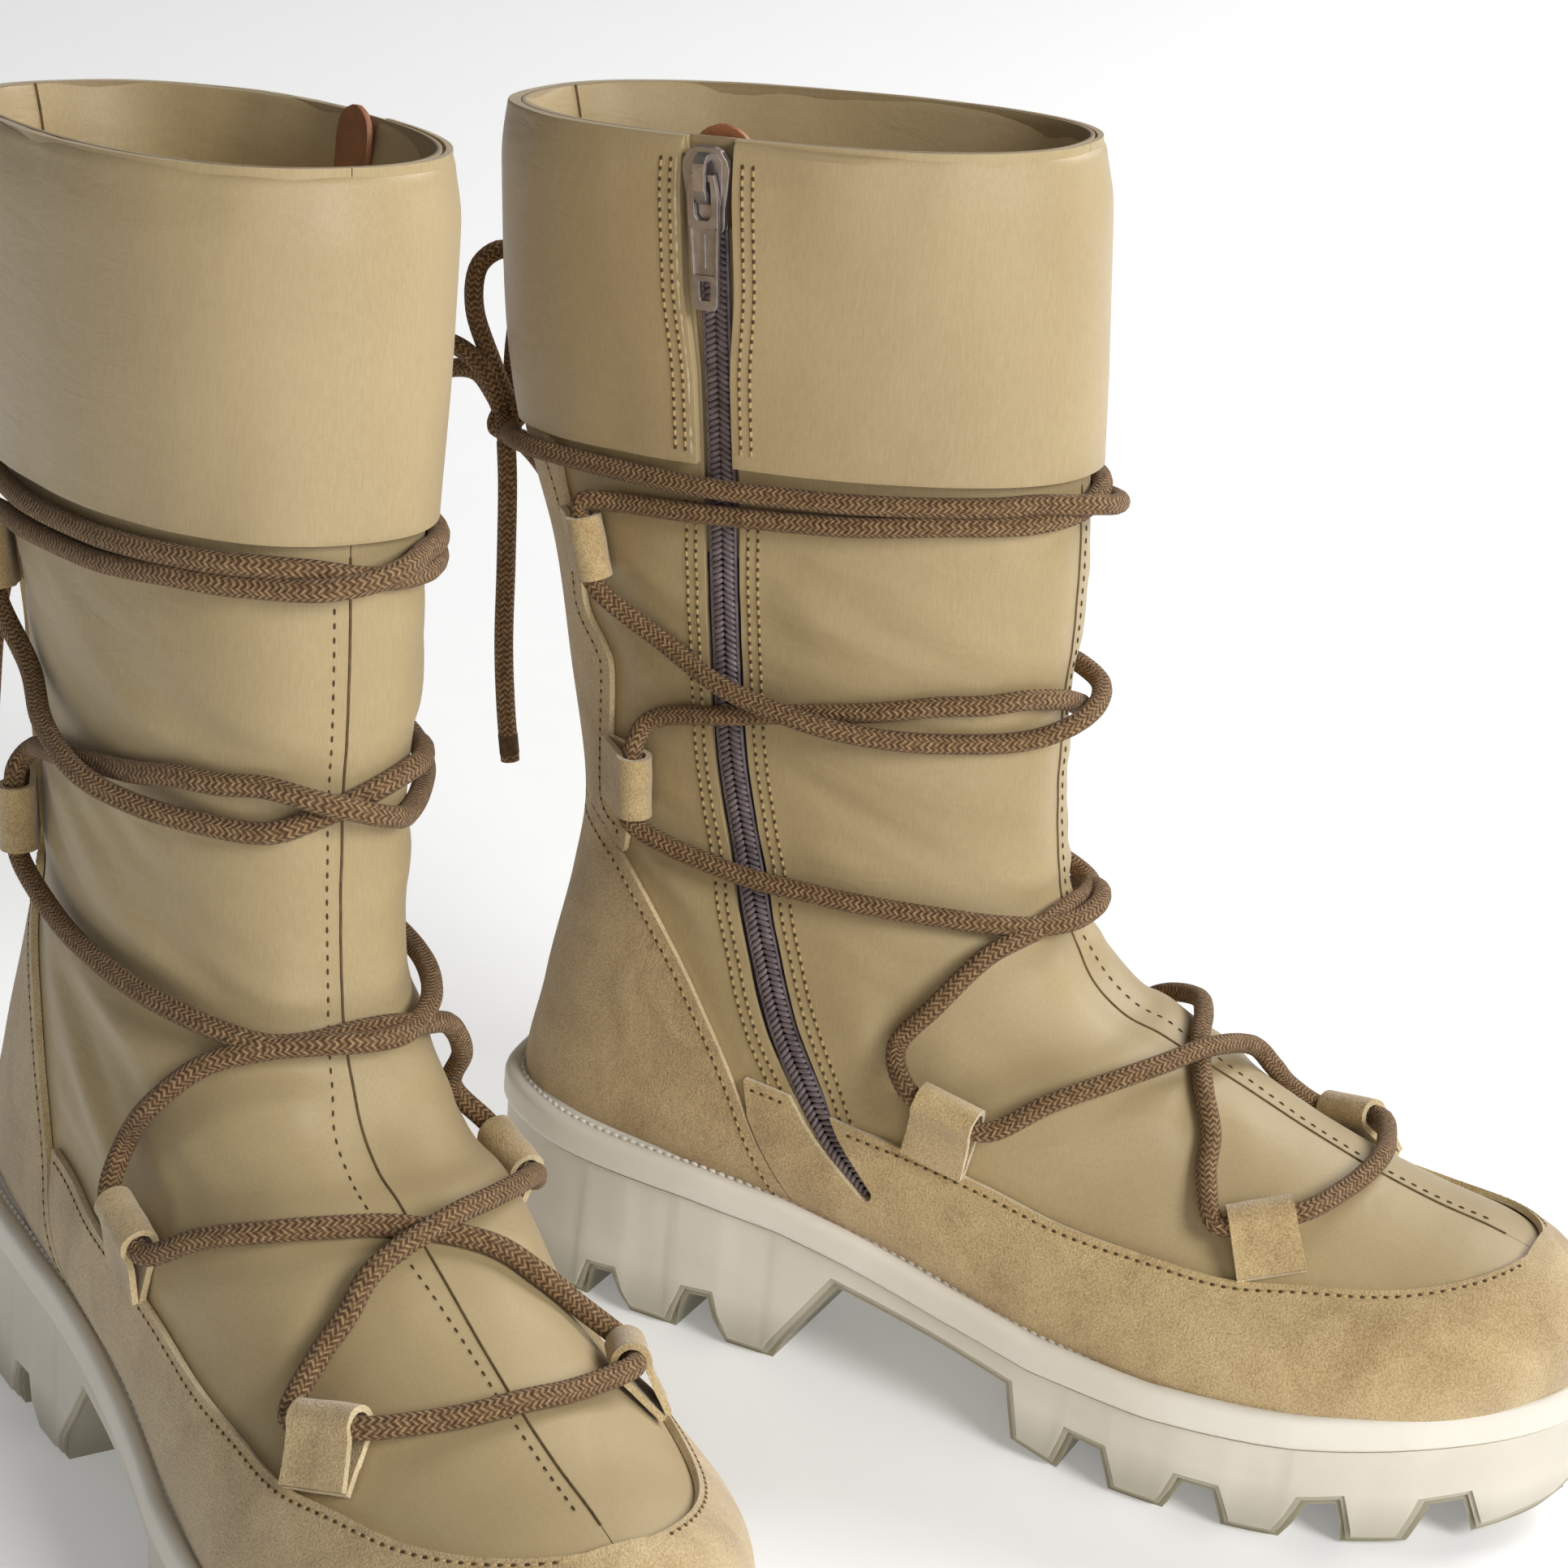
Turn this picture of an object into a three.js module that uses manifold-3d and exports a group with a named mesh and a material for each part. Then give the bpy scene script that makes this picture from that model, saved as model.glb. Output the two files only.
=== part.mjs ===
// A pair of mid-calf winter boots: nylon shaft with a fold-over collar, suede heel and toe rand,
// a side zip, a wrapped lace with a bow, and a lugged rubber sole. Millimetres, +Z up.
// The left boot is modelled once, heel at x = 0 and toe along +X; its inner side is -Y.
// The right boot is its mirror image, set beside it and turned out.

import * as THREE from 'three';
import { mergeVertices } from 'three/addons/utils/BufferGeometryUtils.js';
import { ParametricGeometry } from 'three/addons/geometries/ParametricGeometry.js';
import Module from 'manifold-3d';

const wasm = await Module();
wasm.setup();

// ---------------------------------------------------------------- driving dimensions

const GAP = 0.3;                    // clearance between neighbouring pieces
const AROUND = 16;                  // facets around the upper
// Places along the stations where the upper has a row of facet corners.
const ROWS = [0, 1, 2, 3, 4.5, 6, 7.3, 8.3, 10, 12, 13.5, 15, 16, 17, 18];

const NYLON = 1.4;                  // thickness of the shaft cloth
const LINING = 1.1;                 // thickness of the lining
const LINING_DEPTH = 3.5;           // outer face of the shaft to outer face of the lining
const STIFFENER = 1.4;              // heel stiffener between cloth and lining
const SUEDE = 1.6;                  // thickness of the suede
const CUFF_LIFT = 1.0;              // cuff stands off the shaft by this much
const CUFF = 2.2;                   // thickness of the doubled cuff
const RIM_SLOPE = 10 / 141;         // the rim rises towards the front

const LACE_RADIUS = 2.4;
const ARC_STEPS = 4;                // facets in half a turn of the lace
const LOOP_WIDTH = 16;
const LOOP_BORE = 2.9;
const LOOP_WALL = 1.4;

const ZIP_SLOT = 12;                // width of the opening between the two zip flaps
const CUFF_SLOT = 16;               // width of the opening in the cuff, which spreads round the slider
const ZIP_CHAIN = 7;                // width of the closed coil
const ZIP_COIL = [0.2, -1.2];       // outer and inner face of the coil, from the shaft's face
const ZIP_TAPE = 13;                // half width of the tape behind the flaps
const TAPE = 0.7;                   // thickness of the tape
const SLIDER_HEIGHT = 282;          // height of the slider's middle when the zip is closed
const SLIDER_LENGTH = 19;
const TAB_LENGTH = 30;
const TAB = 1.4;                    // thickness of the pull tab

const WELT_BAND = 8.5;              // height of the welt band
const WELT_REACH = 14;              // how far the welt runs in under the upper
const SOLE_INSET = 1.2;             // outsole wall behind the welt's edge
const INSOLE_INSET = 19;            // insole board behind the welt's edge
const BOARD = 2.2;
const FOOTBED = 4;

const RIGHT_HEEL = new THREE.Vector3(-78, -96.3, 0);
const RIGHT_TURN = THREE.MathUtils.degToRad(-31.9);

// Stations of the upper, rim to toe tip. rear and front are the ends of a slanting section in
// the XZ plane, half is its half width, belly is where along the section the widest point lies,
// crest and base are the superellipse powers of the two ends, reach moves an end cap outwards.
const STATIONS = [
  { rear: [-30, 288], front: [111, 298], half: 42, belly: 0.5, crest: 2.3, base: 2.3, reach: 0 },
  { rear: [-27, 249], front: [115, 259.5], half: 39, belly: 0.5, crest: 2.3, base: 2.3, reach: 0 },
  { rear: [-21, 213], front: [118.5, 224], half: 35.5, belly: 0.5, crest: 2.3, base: 2.3, reach: 0 },
  { rear: [-10.5, 184], front: [120.8, 191], half: 33.5, belly: 0.5, crest: 2.3, base: 2.3, reach: 0 },
  { rear: [-4, 155], front: [120.9, 159], half: 31.2, belly: 0.5, crest: 2.3, base: 2.3, reach: 0 },
  { rear: [3, 124], front: [124, 129], half: 30.6, belly: 0.5, crest: 2.3, base: 2.4, reach: 0 },
  { rear: [2.5, 102], front: [130, 111.5], half: 33, belly: 0.5, crest: 2.6, base: 2.6, reach: 0 },
  { rear: [-2, 72], front: [136, 101.5], half: 36, belly: 0.5, crest: 3, base: 2.8, reach: 0 },
  { rear: [-3, 42], front: [145, 95], half: 38.5, belly: 0.5, crest: 3, base: 3, reach: 0 },
  { rear: [30, 36], front: [155, 92.5], half: 41, belly: 0.5, crest: 3, base: 3.3, reach: 0 },
  { rear: [70, 34], front: [166, 89], half: 42, belly: 0.45, crest: 2.6, base: 3.3, reach: 0 },
  { rear: [105, 29], front: [180, 84], half: 43, belly: 0.38, crest: 2.2, base: 3, reach: 0 },
  { rear: [140, 23], front: [194, 79], half: 46.5, belly: 0.32, crest: 1.9, base: 3, reach: 0 },
  { rear: [175, 22], front: [210, 74], half: 50, belly: 0.28, crest: 1.8, base: 3, reach: 0 },
  { rear: [205, 23], front: [226, 70], half: 48.5, belly: 0.28, crest: 1.8, base: 3, reach: 0.1 },
  { rear: [232, 26], front: [241, 67.5], half: 40, belly: 0.28, crest: 2, base: 3, reach: 0.3 },
  { rear: [250, 29], front: [253, 64], half: 28, belly: 0.3, crest: 2.2, base: 2.6, reach: 0.6 },
  { rear: [260, 32], front: [261, 58], half: 15, belly: 0.4, crest: 2.2, base: 2.2, reach: 0.9 },
  { rear: [265, 38], front: [265, 49], half: 4, belly: 0.5, crest: 2, base: 2, reach: 1 },
];

// Line where the upper meets the welt, seen from the side (x, z).
const FEATHER = [[-20, 49.5], [20, 47.3], [55, 46], [80, 44.3], [100, 41], [125, 36], [150, 32.6],
  [180, 32], [215, 33.8], [245, 36.5], [280, 39.5]];

// Half of the welt's outer edge seen from above (x, y), heel to toe.
const WELT_EDGE = [[-12, 0], [-7, 24], [10, 38], [30, 43.5], [60, 44.8], [95, 44.8], [125, 47],
  [155, 52], [183, 54.8], [210, 52.5], [233, 43.5], [253, 29], [265, 14], [270, 0]];

// Lower outline of the outsole from the side: lug faces on the ground, gaps between them.
const TREAD = [[-14, 4], [-10, 0], [27, 0], [31, 9], [36, 9.5], [40, 0], [53, 0], [58, 11],
  [63, 11.5], [67, 0], [80, 0], [97, 25], [112, 22.5], [144, 17], [147, 3], [160, 0], [163, 10.5],
  [170, 10], [174, 0], [188, 0], [191, 9], [198, 9], [202, 0], [215, 0], [219, 10.5], [225, 11.5],
  [228, 0.6], [241, 1.4], [244, 12], [250, 13], [253, 3.5], [268, 8], [275, 14]];

// Upper edges of the suede pieces seen from the side (x, z).
const COUNTER_EDGE = [[5, 122], [24, 113], [42, 96.5], [55.4, 80], [68, 62], [83, 42]];
const RAND_EDGE = [[66, 71], [79, 70], [93, 68], [110, 66.5], [130, 63.5], [150, 59.5], [172, 58],
  [190, 57.5], [208, 59.5], [225, 61], [240, 64], [250.6, 66.8]];
const BACKSTAY_EDGE = [[-7, 212], [-1, 201], [4.4, 182], [6.4, 172], [13.5, 164], [15.7, 157],
  [16.2, 127], [23, 121], [23.5, 114.6]];

// Centre line of the zip on the inner side (x, z): straight above the ankle, then forward.
const ZIP_LINE = [[38.1, 292], [41.6, 250], [44.6, 212.6], [47.9, 173], [50.5, 150], [55.2, 131],
  [63, 108], [74, 84], [88, 65], [102, 52]];
const ZIP_TOP = ZIP_LINE[0];
const ZIP_BEND = ZIP_LINE[3];       // the chain is straight down to this point

// Lace loops: foot of the strip on the upper (x, z), direction of the strip seen from the side,
// its length from foot to fold, and how far it stands off the cloth.
const LOOPS = [
  { name: 'front', foot: [199.5, 60.4], lean: [-0.3, 1], length: 10.5, stand: 0.7 },
  { name: 'instep', foot: [118.5, 67.3], lean: [0.2, 1], length: 12.5, stand: 0.7 },
  { name: 'mid_rear', foot: [20, 135], lean: [1, 0.05], length: 11.5, stand: 1.6 },
  { name: 'upper_rear', foot: [6, 190.5], lean: [1, 0.25], length: 9.5, stand: 1.4 },
];

const COLOURS = {
  nylon: [0xc6b186, 0.55], nylonInside: [0xb09c74, 0.7], suede: [0xcbb07c, 0.95],
  rubber: [0xddd6c6, 0.6], welt: [0xe4dfd2, 0.5], board: [0x8b7a5f, 0.9], felt: [0xb5a68c, 1],
  lace: [0x86653f, 0.9], zip: [0x51474c, 0.5], tape: [0x3c3638, 0.9], metal: [0x8d8378, 0.35],
  tan: [0xa5693a, 0.6], stiff: [0xd9d2c0, 0.8],
};

// ---------------------------------------------------------------- the surface of the upper

const mix = (p, q, t) => p + (q - p) * t;
const FIELDS = ['half', 'belly', 'crest', 'base', 'reach'];

function splineValue(a, b, c, d, t) {
  return 0.5 * (2 * b + (c - a) * t + (2 * a - 5 * b + 4 * c - d) * t * t
    + (3 * b - a - 3 * c + d) * t * t * t);
}

// The section at a place between stations; place runs from 0 at the rim to the last station.
function sectionAt(place) {
  const last = STATIONS.length - 1;
  const at = Math.min(Math.max(place, 0), last);
  const i = Math.min(Math.floor(at), last - 1);
  const near = [Math.max(i - 1, 0), i, i + 1, Math.min(i + 2, last)].map((k) => STATIONS[k]);
  const blend = (pick) => splineValue(...near.map(pick), at - i);
  const section = {};
  for (const field of FIELDS) section[field] = blend((s) => s[field]);
  section.rear = [blend((s) => s.rear[0]), blend((s) => s.rear[1])];
  section.front = [blend((s) => s.front[0]), blend((s) => s.front[1])];
  return section;
}

const power = (value, exponent) => Math.sign(value) * Math.abs(value) ** (2 / exponent);

// A point of the upper. turn runs round the section: 0 front, 0.25 outer side, 0.5 rear, 0.75
// inner side. lift is the distance outside the cloth.
function upperPoint(turn, place, lift = 0) {
  const s = sectionAt(place);
  const along = new THREE.Vector2(s.front[0] - s.rear[0], s.front[1] - s.rear[1]);
  const length = along.length();
  along.divideScalar(length);
  const angle = 2 * Math.PI * turn;
  const ahead = Math.cos(angle) >= 0;
  const reach = ahead ? (1 - s.belly) * length + lift : s.belly * length + lift;
  const step = power(Math.cos(angle), ahead ? s.crest : s.base) * reach + s.belly * length;
  const y = power(Math.sin(angle), ahead ? s.crest : s.base) * (s.half + lift);
  return new THREE.Vector3(
    s.rear[0] + along.x * step + s.reach * lift, y, s.rear[1] + along.y * step);
}

// The turn and place of the upper's point that has this x and z, on the side of the sign given.
function findOnSide(x, z, side) {
  let turn = side > 0 ? 0.25 : 0.75;
  let place = 0;
  let best = Infinity;
  for (let k = 0; k <= 60; k++) {
    const p = upperPoint(turn, (k / 60) * (STATIONS.length - 1));
    const miss = Math.hypot(p.x - x, p.z - z);
    if (miss < best) [best, place] = [miss, (k / 60) * (STATIONS.length - 1)];
  }
  const h = 1e-3;
  for (let k = 0; k < 60; k++) {
    const p = upperPoint(turn, place);
    const a = upperPoint(turn + h, place).sub(p).divideScalar(h);
    const b = upperPoint(turn, place + h).sub(p).divideScalar(h);
    const det = a.x * b.z - a.z * b.x;
    const [ex, ez] = [x - p.x, z - p.z];
    turn += 0.5 * THREE.MathUtils.clamp((ex * b.z - ez * b.x) / det, -0.1, 0.1);
    place += 0.5 * THREE.MathUtils.clamp((a.x * ez - a.z * ex) / det, -2, 2);
  }
  return [turn, place];
}

function onSide(x, z, side, lift) {
  return upperPoint(...findOnSide(x, z, side), lift);
}

function normalAt(turn, place) {
  const h = 2e-3;
  const round = upperPoint(turn + h, place).sub(upperPoint(turn - h, place));
  const down = upperPoint(turn, place + h * 10).sub(upperPoint(turn, place - h * 10));
  return down.cross(round).normalize();
}

// ---------------------------------------------------------------- solids

function toSolid(geometry) {
  const bare = geometry.index ? geometry.clone() : geometry;
  bare.deleteAttribute('normal');
  bare.deleteAttribute('uv');
  const merged = mergeVertices(bare, 1e-4);
  const index = merged.index.array;
  const kept = [];
  for (let i = 0; i < index.length; i += 3) {
    const [a, b, c] = [index[i], index[i + 1], index[i + 2]];
    if (a !== b && b !== c && c !== a) kept.push(a, b, c);
  }
  return new wasm.Manifold(new wasm.Mesh({
    numProp: 3,
    vertProperties: new Float32Array(merged.attributes.position.array),
    triVerts: new Uint32Array(kept),
  }));
}

function toGeometry(solid) {
  const { vertProperties, triVerts } = solid.getMesh();
  const geometry = new THREE.BufferGeometry();
  geometry.setAttribute('position', new THREE.BufferAttribute(new Float32Array(vertProperties), 3));
  geometry.setIndex(new THREE.BufferAttribute(new Uint32Array(triVerts), 1));
  geometry.computeVertexNormals();
  return geometry;
}

// The biggest of a solid's separate surfaces, which leaves out enclosed pockets.
function largest(solid) {
  return solid.decompose().sort((a, b) => b.volume() - a.volume())[0];
}

// The upper as one solid, grown outwards by lift; rise carries its top above the rim.
function upperSolid(lift, rise = 0) {
  const rows = ROWS.length + 2;
  const middle = (place) => {
    return upperPoint(0, place, lift).add(upperPoint(0.5, place, lift)).multiplyScalar(0.5);
  };
  const shape = (u, v, target) => {
    const k = Math.round(v * rows);
    if (k === 0) target.copy(middle(ROWS[0]));
    else if (k === rows) target.copy(middle(ROWS.at(-1)));
    else target.copy(upperPoint(1 - (u % 1), ROWS[Math.max(k - 2, 0)], lift));
    if (k < 2) target.z += rise;
  };
  return toSolid(new ParametricGeometry(shape, AROUND, rows));
}

function shell(outer, inner) {
  return upperSolid(outer).subtract(upperSolid(inner, 6));
}

// A prism with an outline in the XZ plane, from y = from to y = to.
function sidePrism(points, from, to) {
  const shape = new THREE.Shape(points.map((p) => new THREE.Vector2(p[0], p[1])));
  const geometry = new THREE.ExtrudeGeometry(shape, { depth: to - from, bevelEnabled: false });
  geometry.rotateX(Math.PI / 2);
  geometry.translate(0, to, 0);
  return toSolid(geometry);
}

// A prism with an outline in the XY plane, from z = bottom to z = top.
function planPrism(points, bottom, top) {
  const shape = new THREE.Shape(points.map((p) => new THREE.Vector2(p[0], p[1])));
  const geometry = new THREE.ExtrudeGeometry(shape, { depth: top - bottom, bevelEnabled: false });
  geometry.translate(0, 0, bottom);
  return toSolid(geometry);
}

function box(low, high) {
  const size = new THREE.Vector3().subVectors(high, low);
  const geometry = new THREE.BoxGeometry(size.x, size.y, size.z);
  geometry.translate((low.x + high.x) / 2, (low.y + high.y) / 2, (low.z + high.z) / 2);
  return toSolid(geometry);
}

const corner = (x, y, z) => new THREE.Vector3(x, y, z);

// Everything above (or, with depth, a slab just above) the feather line.
function aboveFeather(offset, depth = 400) {
  const low = FEATHER.map(([x, z]) => [x, z + offset]);
  const high = FEATHER.map(([x, z]) => [x, z + offset + depth]).reverse();
  return sidePrism([...low, ...high], -100, 100);
}

// A strip that follows the upper: a chain of quads across the line through the points.
function stripPrism(line, half, from, to) {
  const left = [];
  const right = [];
  line.forEach(([x, z], i) => {
    const [ax, az] = line[Math.max(i - 1, 0)];
    const [bx, bz] = line[Math.min(i + 1, line.length - 1)];
    const length = Math.hypot(bx - ax, bz - az);
    const [nx, nz] = [-(bz - az) / length, (bx - ax) / length];
    left.push([x + nx * half, z + nz * half]);
    right.push([x - nx * half, z - nz * half]);
  });
  return sidePrism([...left, ...right.reverse()], from, to);
}

// ---------------------------------------------------------------- the sole

function weltOutline(inset) {
  const half = new THREE.SplineCurve(WELT_EDGE.map((p) => new THREE.Vector2(p[0], p[1])));
  const side = half.getPoints(13).map((p) => [p.x, p.y]);
  const middle = (WELT_EDGE[0][0] + WELT_EDGE.at(-1)[0]) / 2;
  const long = (WELT_EDGE.at(-1)[0] - WELT_EDGE[0][0]) / 2;
  const shrink = (p) => {
    const x = middle + (p[0] - middle) * (1 - inset / long);
    return [x, Math.max(0, p[1] - inset * Math.min(1, p[1] / 20))];
  };
  const upper = side.map(shrink);
  const lower = upper.slice(1, -1).map(([x, y]) => [x, -y]).reverse();
  return [...upper, ...lower];
}

function outsole() {
  const top = FEATHER.map(([x, z]) => [x, z - WELT_BAND - 2 * GAP]).reverse();
  const side = sidePrism([...TREAD, ...top], -70, 70);
  return side.intersect(planPrism(weltOutline(SOLE_INSET), -5, 60));
}

function welt() {
  const band = aboveFeather(-WELT_BAND - GAP, WELT_BAND);
  const ring = planPrism(weltOutline(0), 0, 80).subtract(planPrism(weltOutline(WELT_REACH), -1, 90));
  return band.intersect(ring);
}

function insoleBoard() {
  return planPrism(weltOutline(INSOLE_INSET), 0, 90).intersect(aboveFeather(0, BOARD));
}

function footbed() {
  return planPrism(weltOutline(INSOLE_INSET + 0.5), 0, 90).intersect(aboveFeather(BOARD + GAP, FOOTBED));
}

// ---------------------------------------------------------------- the upper's panels

const ZIP_LINE_UP = [[37.2, 305], ...ZIP_LINE];
const zipSlot = () => stripPrism(ZIP_LINE_UP, ZIP_SLOT / 2, -80, 0);
const zipSplit = () => stripPrism([ZIP_LINE.at(-1), [108, 46], [116, 30]], 0.4, -80, 0);

function nylonShell() {
  return shell(0, -NYLON).intersect(aboveFeather(0));
}

function nylonLateral() {
  return nylonShell().intersect(box(corner(-60, GAP / 2, 0), corner(300, 90, 320)));
}

// The inner half of the shaft is split by the zip into a front and a rear panel.
function nylonMedial(wantFront) {
  const half = nylonShell().intersect(box(corner(-60, -90, 0), corner(300, -GAP / 2, 320)));
  const pieces = half.subtract(zipSlot()).subtract(zipSplit()).decompose();
  const reach = (piece) => piece.boundingBox().max[0];
  pieces.sort((a, b) => reach(a) - reach(b));
  return wantFront ? pieces.at(-1) : pieces.filter((p) => p.volume() > 100)[0];
}

function lining() {
  return shell(-LINING_DEPTH, -LINING_DEPTH - LINING).intersect(aboveFeather(0));
}

function cuffEdge(offset) {
  const edge = (x) => 218 + RIM_SLOPE * (x - 45) + offset;
  return [[-60, edge(-60)], [150, edge(150)]];
}

function collarCuff() {
  const band = sidePrism([...cuffEdge(0), [150, 330], [-60, 330]], -90, 90);
  const wall = shell(CUFF_LIFT + CUFF, CUFF_LIFT);
  return wall.intersect(band).subtract(stripPrism(ZIP_LINE_UP, CUFF_SLOT / 2, -80, 0));
}

function suedeShell() {
  return shell(GAP + SUEDE, GAP).intersect(aboveFeather(0));
}

function heelCounter() {
  const outline = [[-40, 117], ...COUNTER_EDGE, [83, 20], [-40, 20]];
  return suedeShell().intersect(sidePrism(outline, -90, 90));
}

function toeRand() {
  const rear = COUNTER_EDGE.slice(4).map(([x, z]) => [x + 0.8, z]).reverse();
  const outline = [[84, 20], ...rear, ...RAND_EDGE, [250.6, 120], [300, 120], [300, 20]];
  const whole = suedeShell().intersect(sidePrism(outline, -90, 90));
  return whole.subtract(stripPrism(ZIP_LINE.slice(5), ZIP_SLOT / 2 + 0.5, -80, 0));
}

function backstay() {
  const foot = [[23.5, 114.6], [5, 123], [-40, 118]];
  const outline = [[-40, 211], ...BACKSTAY_EDGE, ...foot];
  return suedeShell().intersect(sidePrism(outline, -90, 90));
}

function heelStiffener() {
  const outline = [[-40, 100], [14, 96], [40, 78], [62, 50], [66, 20], [-40, 20]];
  const wall = shell(-NYLON - GAP, -NYLON - GAP - STIFFENER).intersect(aboveFeather(0));
  return wall.intersect(sidePrism(outline, -90, 90));
}

// ---------------------------------------------------------------- lace loops

// Profile of a folded strip that leaves a bore for the lace at its fold, sewn flat at its foot.
function loopProfile(length) {
  const rise = LOOP_WALL + LOOP_BORE;
  const outer = LOOP_BORE + LOOP_WALL;
  const shape = new THREE.Shape();
  shape.moveTo(0, 0);
  shape.lineTo(length, 0);
  shape.absarc(length, rise, outer, -Math.PI / 2, Math.PI * 0.62, false);
  shape.lineTo(0, 2 * LOOP_WALL);
  const bore = new THREE.Path();
  bore.absarc(length, rise, LOOP_BORE, 0, 2 * Math.PI, true);
  shape.holes.push(bore);
  return shape;
}

// Axes of a loop: along the strip, along its bore, and out from the upper.
function loopFrame(loop, side) {
  const [turn, place] = findOnSide(loop.foot[0], loop.foot[1], side);
  const out = normalAt(turn, place);
  if (out.y * side < 0) out.negate();
  const strip = new THREE.Vector3(loop.lean[0], 0, loop.lean[1]);
  strip.addScaledVector(out, -strip.dot(out)).normalize();
  const bore = new THREE.Vector3().crossVectors(out, strip).normalize();
  const foot = upperPoint(turn, place, loop.stand);
  return { foot, strip, bore, out };
}

function laceLoop(loop, side) {
  const { foot, strip, out } = loopFrame(loop, side);
  const geometry = new THREE.ExtrudeGeometry(loopProfile(loop.length), {
    depth: LOOP_WIDTH, bevelEnabled: false, curveSegments: ARC_STEPS,
  });
  geometry.translate(0, 0, -LOOP_WIDTH / 2);
  const across = new THREE.Vector3().crossVectors(strip, out);
  geometry.applyMatrix4(new THREE.Matrix4().makeBasis(strip, out, across).setPosition(foot));
  return geometry;
}

function boreCentre(loop, side) {
  const { foot, strip, bore, out } = loopFrame(loop, side);
  const centre = foot.clone().addScaledVector(strip, loop.length);
  centre.addScaledVector(out, LOOP_WALL + LOOP_BORE);
  return { centre, bore };
}

// ---------------------------------------------------------------- the zip

function zipTape() {
  const outer = -NYLON - GAP;
  const field = stripPrism(ZIP_LINE, ZIP_TAPE, -80, 0);
  return shell(outer, outer - TAPE).intersect(field);
}

function zipCoil() {
  return shell(...ZIP_COIL).intersect(stripPrism(ZIP_LINE, ZIP_CHAIN / 2, -80, 0));
}

// Tan leather pocket for the slider's head, on the inside of the lining.
function zipGarage() {
  const outer = -LINING_DEPTH - LINING - GAP;
  const field = stripPrism([[38, 292.5], [40.6, 262]], 7.5, -80, 0);
  return shell(outer, outer - 1.2).intersect(field);
}

// Axes of the closed slider: down the chain, across it, and out from the boot.
function sliderFrame() {
  const top = onSide(ZIP_TOP[0], ZIP_TOP[1], -1, 0);
  const bend = onSide(ZIP_BEND[0], ZIP_BEND[1], -1, 0);
  const down = bend.clone().sub(top).normalize();
  const out = new THREE.Vector3(0, -1, 0);
  out.addScaledVector(down, -out.dot(down)).normalize();
  const across = new THREE.Vector3().crossVectors(out, down);
  const along = (top.z - SLIDER_HEIGHT) / -down.z;
  const origin = top.clone().addScaledVector(down, along);
  return new THREE.Matrix4().makeBasis(down, across, out).setPosition(origin);
}

const SLIDER_TOP = 3;               // outer face of the slider's plate
const PIVOT = { x: -3, z: 4.3 };    // middle of the pull tab's cross bar

function mirroredOutline(side) {
  const back = side.slice().reverse().map(([x, y]) => [x, -y]);
  return [...side, ...back];
}

function zipSlider() {
  const half = SLIDER_LENGTH / 2;
  const plan = mirroredOutline([[-half, 4.2], [-half + 4, 6.6], [0, 6.2], [half, 4.8]]);
  const plate = planPrism(plan, 1.2, SLIDER_TOP);
  const flange = (sign) => box(
    corner(-half + 4, sign > 0 ? 4 : -5, -0.9), corner(half, sign > 0 ? 5 : -4, 1.4));
  const bailSide = [[-8, 2.8], [-7, 5.6], [-4.5, 6.6], [0, 6.6], [2.5, 4.8], [3.5, 2.8]];
  const bail = sidePrism(bailSide, -1.6, 1.6);
  const eye = box(corner(PIVOT.x - 1.7, -4, PIVOT.z - 1.25), corner(PIVOT.x + 1.7, 4, PIVOT.z + 1.25));
  return plate.add(flange(1)).add(flange(-1)).add(bail).subtract(eye);
}

// Flat tab with a window for the bail at its head and a smaller one near its tip.
function pullTab() {
  const edge = [[-0.8, 3.4], [4, 4.4], [13, 4.2], [TAB_LENGTH - 1, 3.4], [TAB_LENGTH, 2.6]];
  const body = planPrism(mirroredOutline(edge), -TAB / 2, TAB / 2);
  const window = planPrism(mirroredOutline([[0.8, 2.2], [10, 2.2]]), -2, 2);
  const slot = planPrism(mirroredOutline([[TAB_LENGTH - 8, 1.6], [TAB_LENGTH - 2.5, 1.4]]), -2, 2);
  return body.subtract(window).subtract(slot);
}

// A solid made about the slider's own axes, moved to where it is on the boot.
const onSlider = (solid) => solid.transform(sliderFrame().elements);

// ---------------------------------------------------------------- the lace

const LOW = LACE_RADIUS + 1;        // lift of the lace's middle on the cloth
const HIGH = LOW + 2 * LACE_RADIUS + 0.6;
const THROAT = LOW + 2.2;           // lift where the upper is hollow, in front of the ankle
const BORE_RUN = 0.65;              // the lace is straight this share of a loop's width each way

const through = (name) => ({ loop: LOOPS.find((loop) => loop.name === name) });

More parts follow.
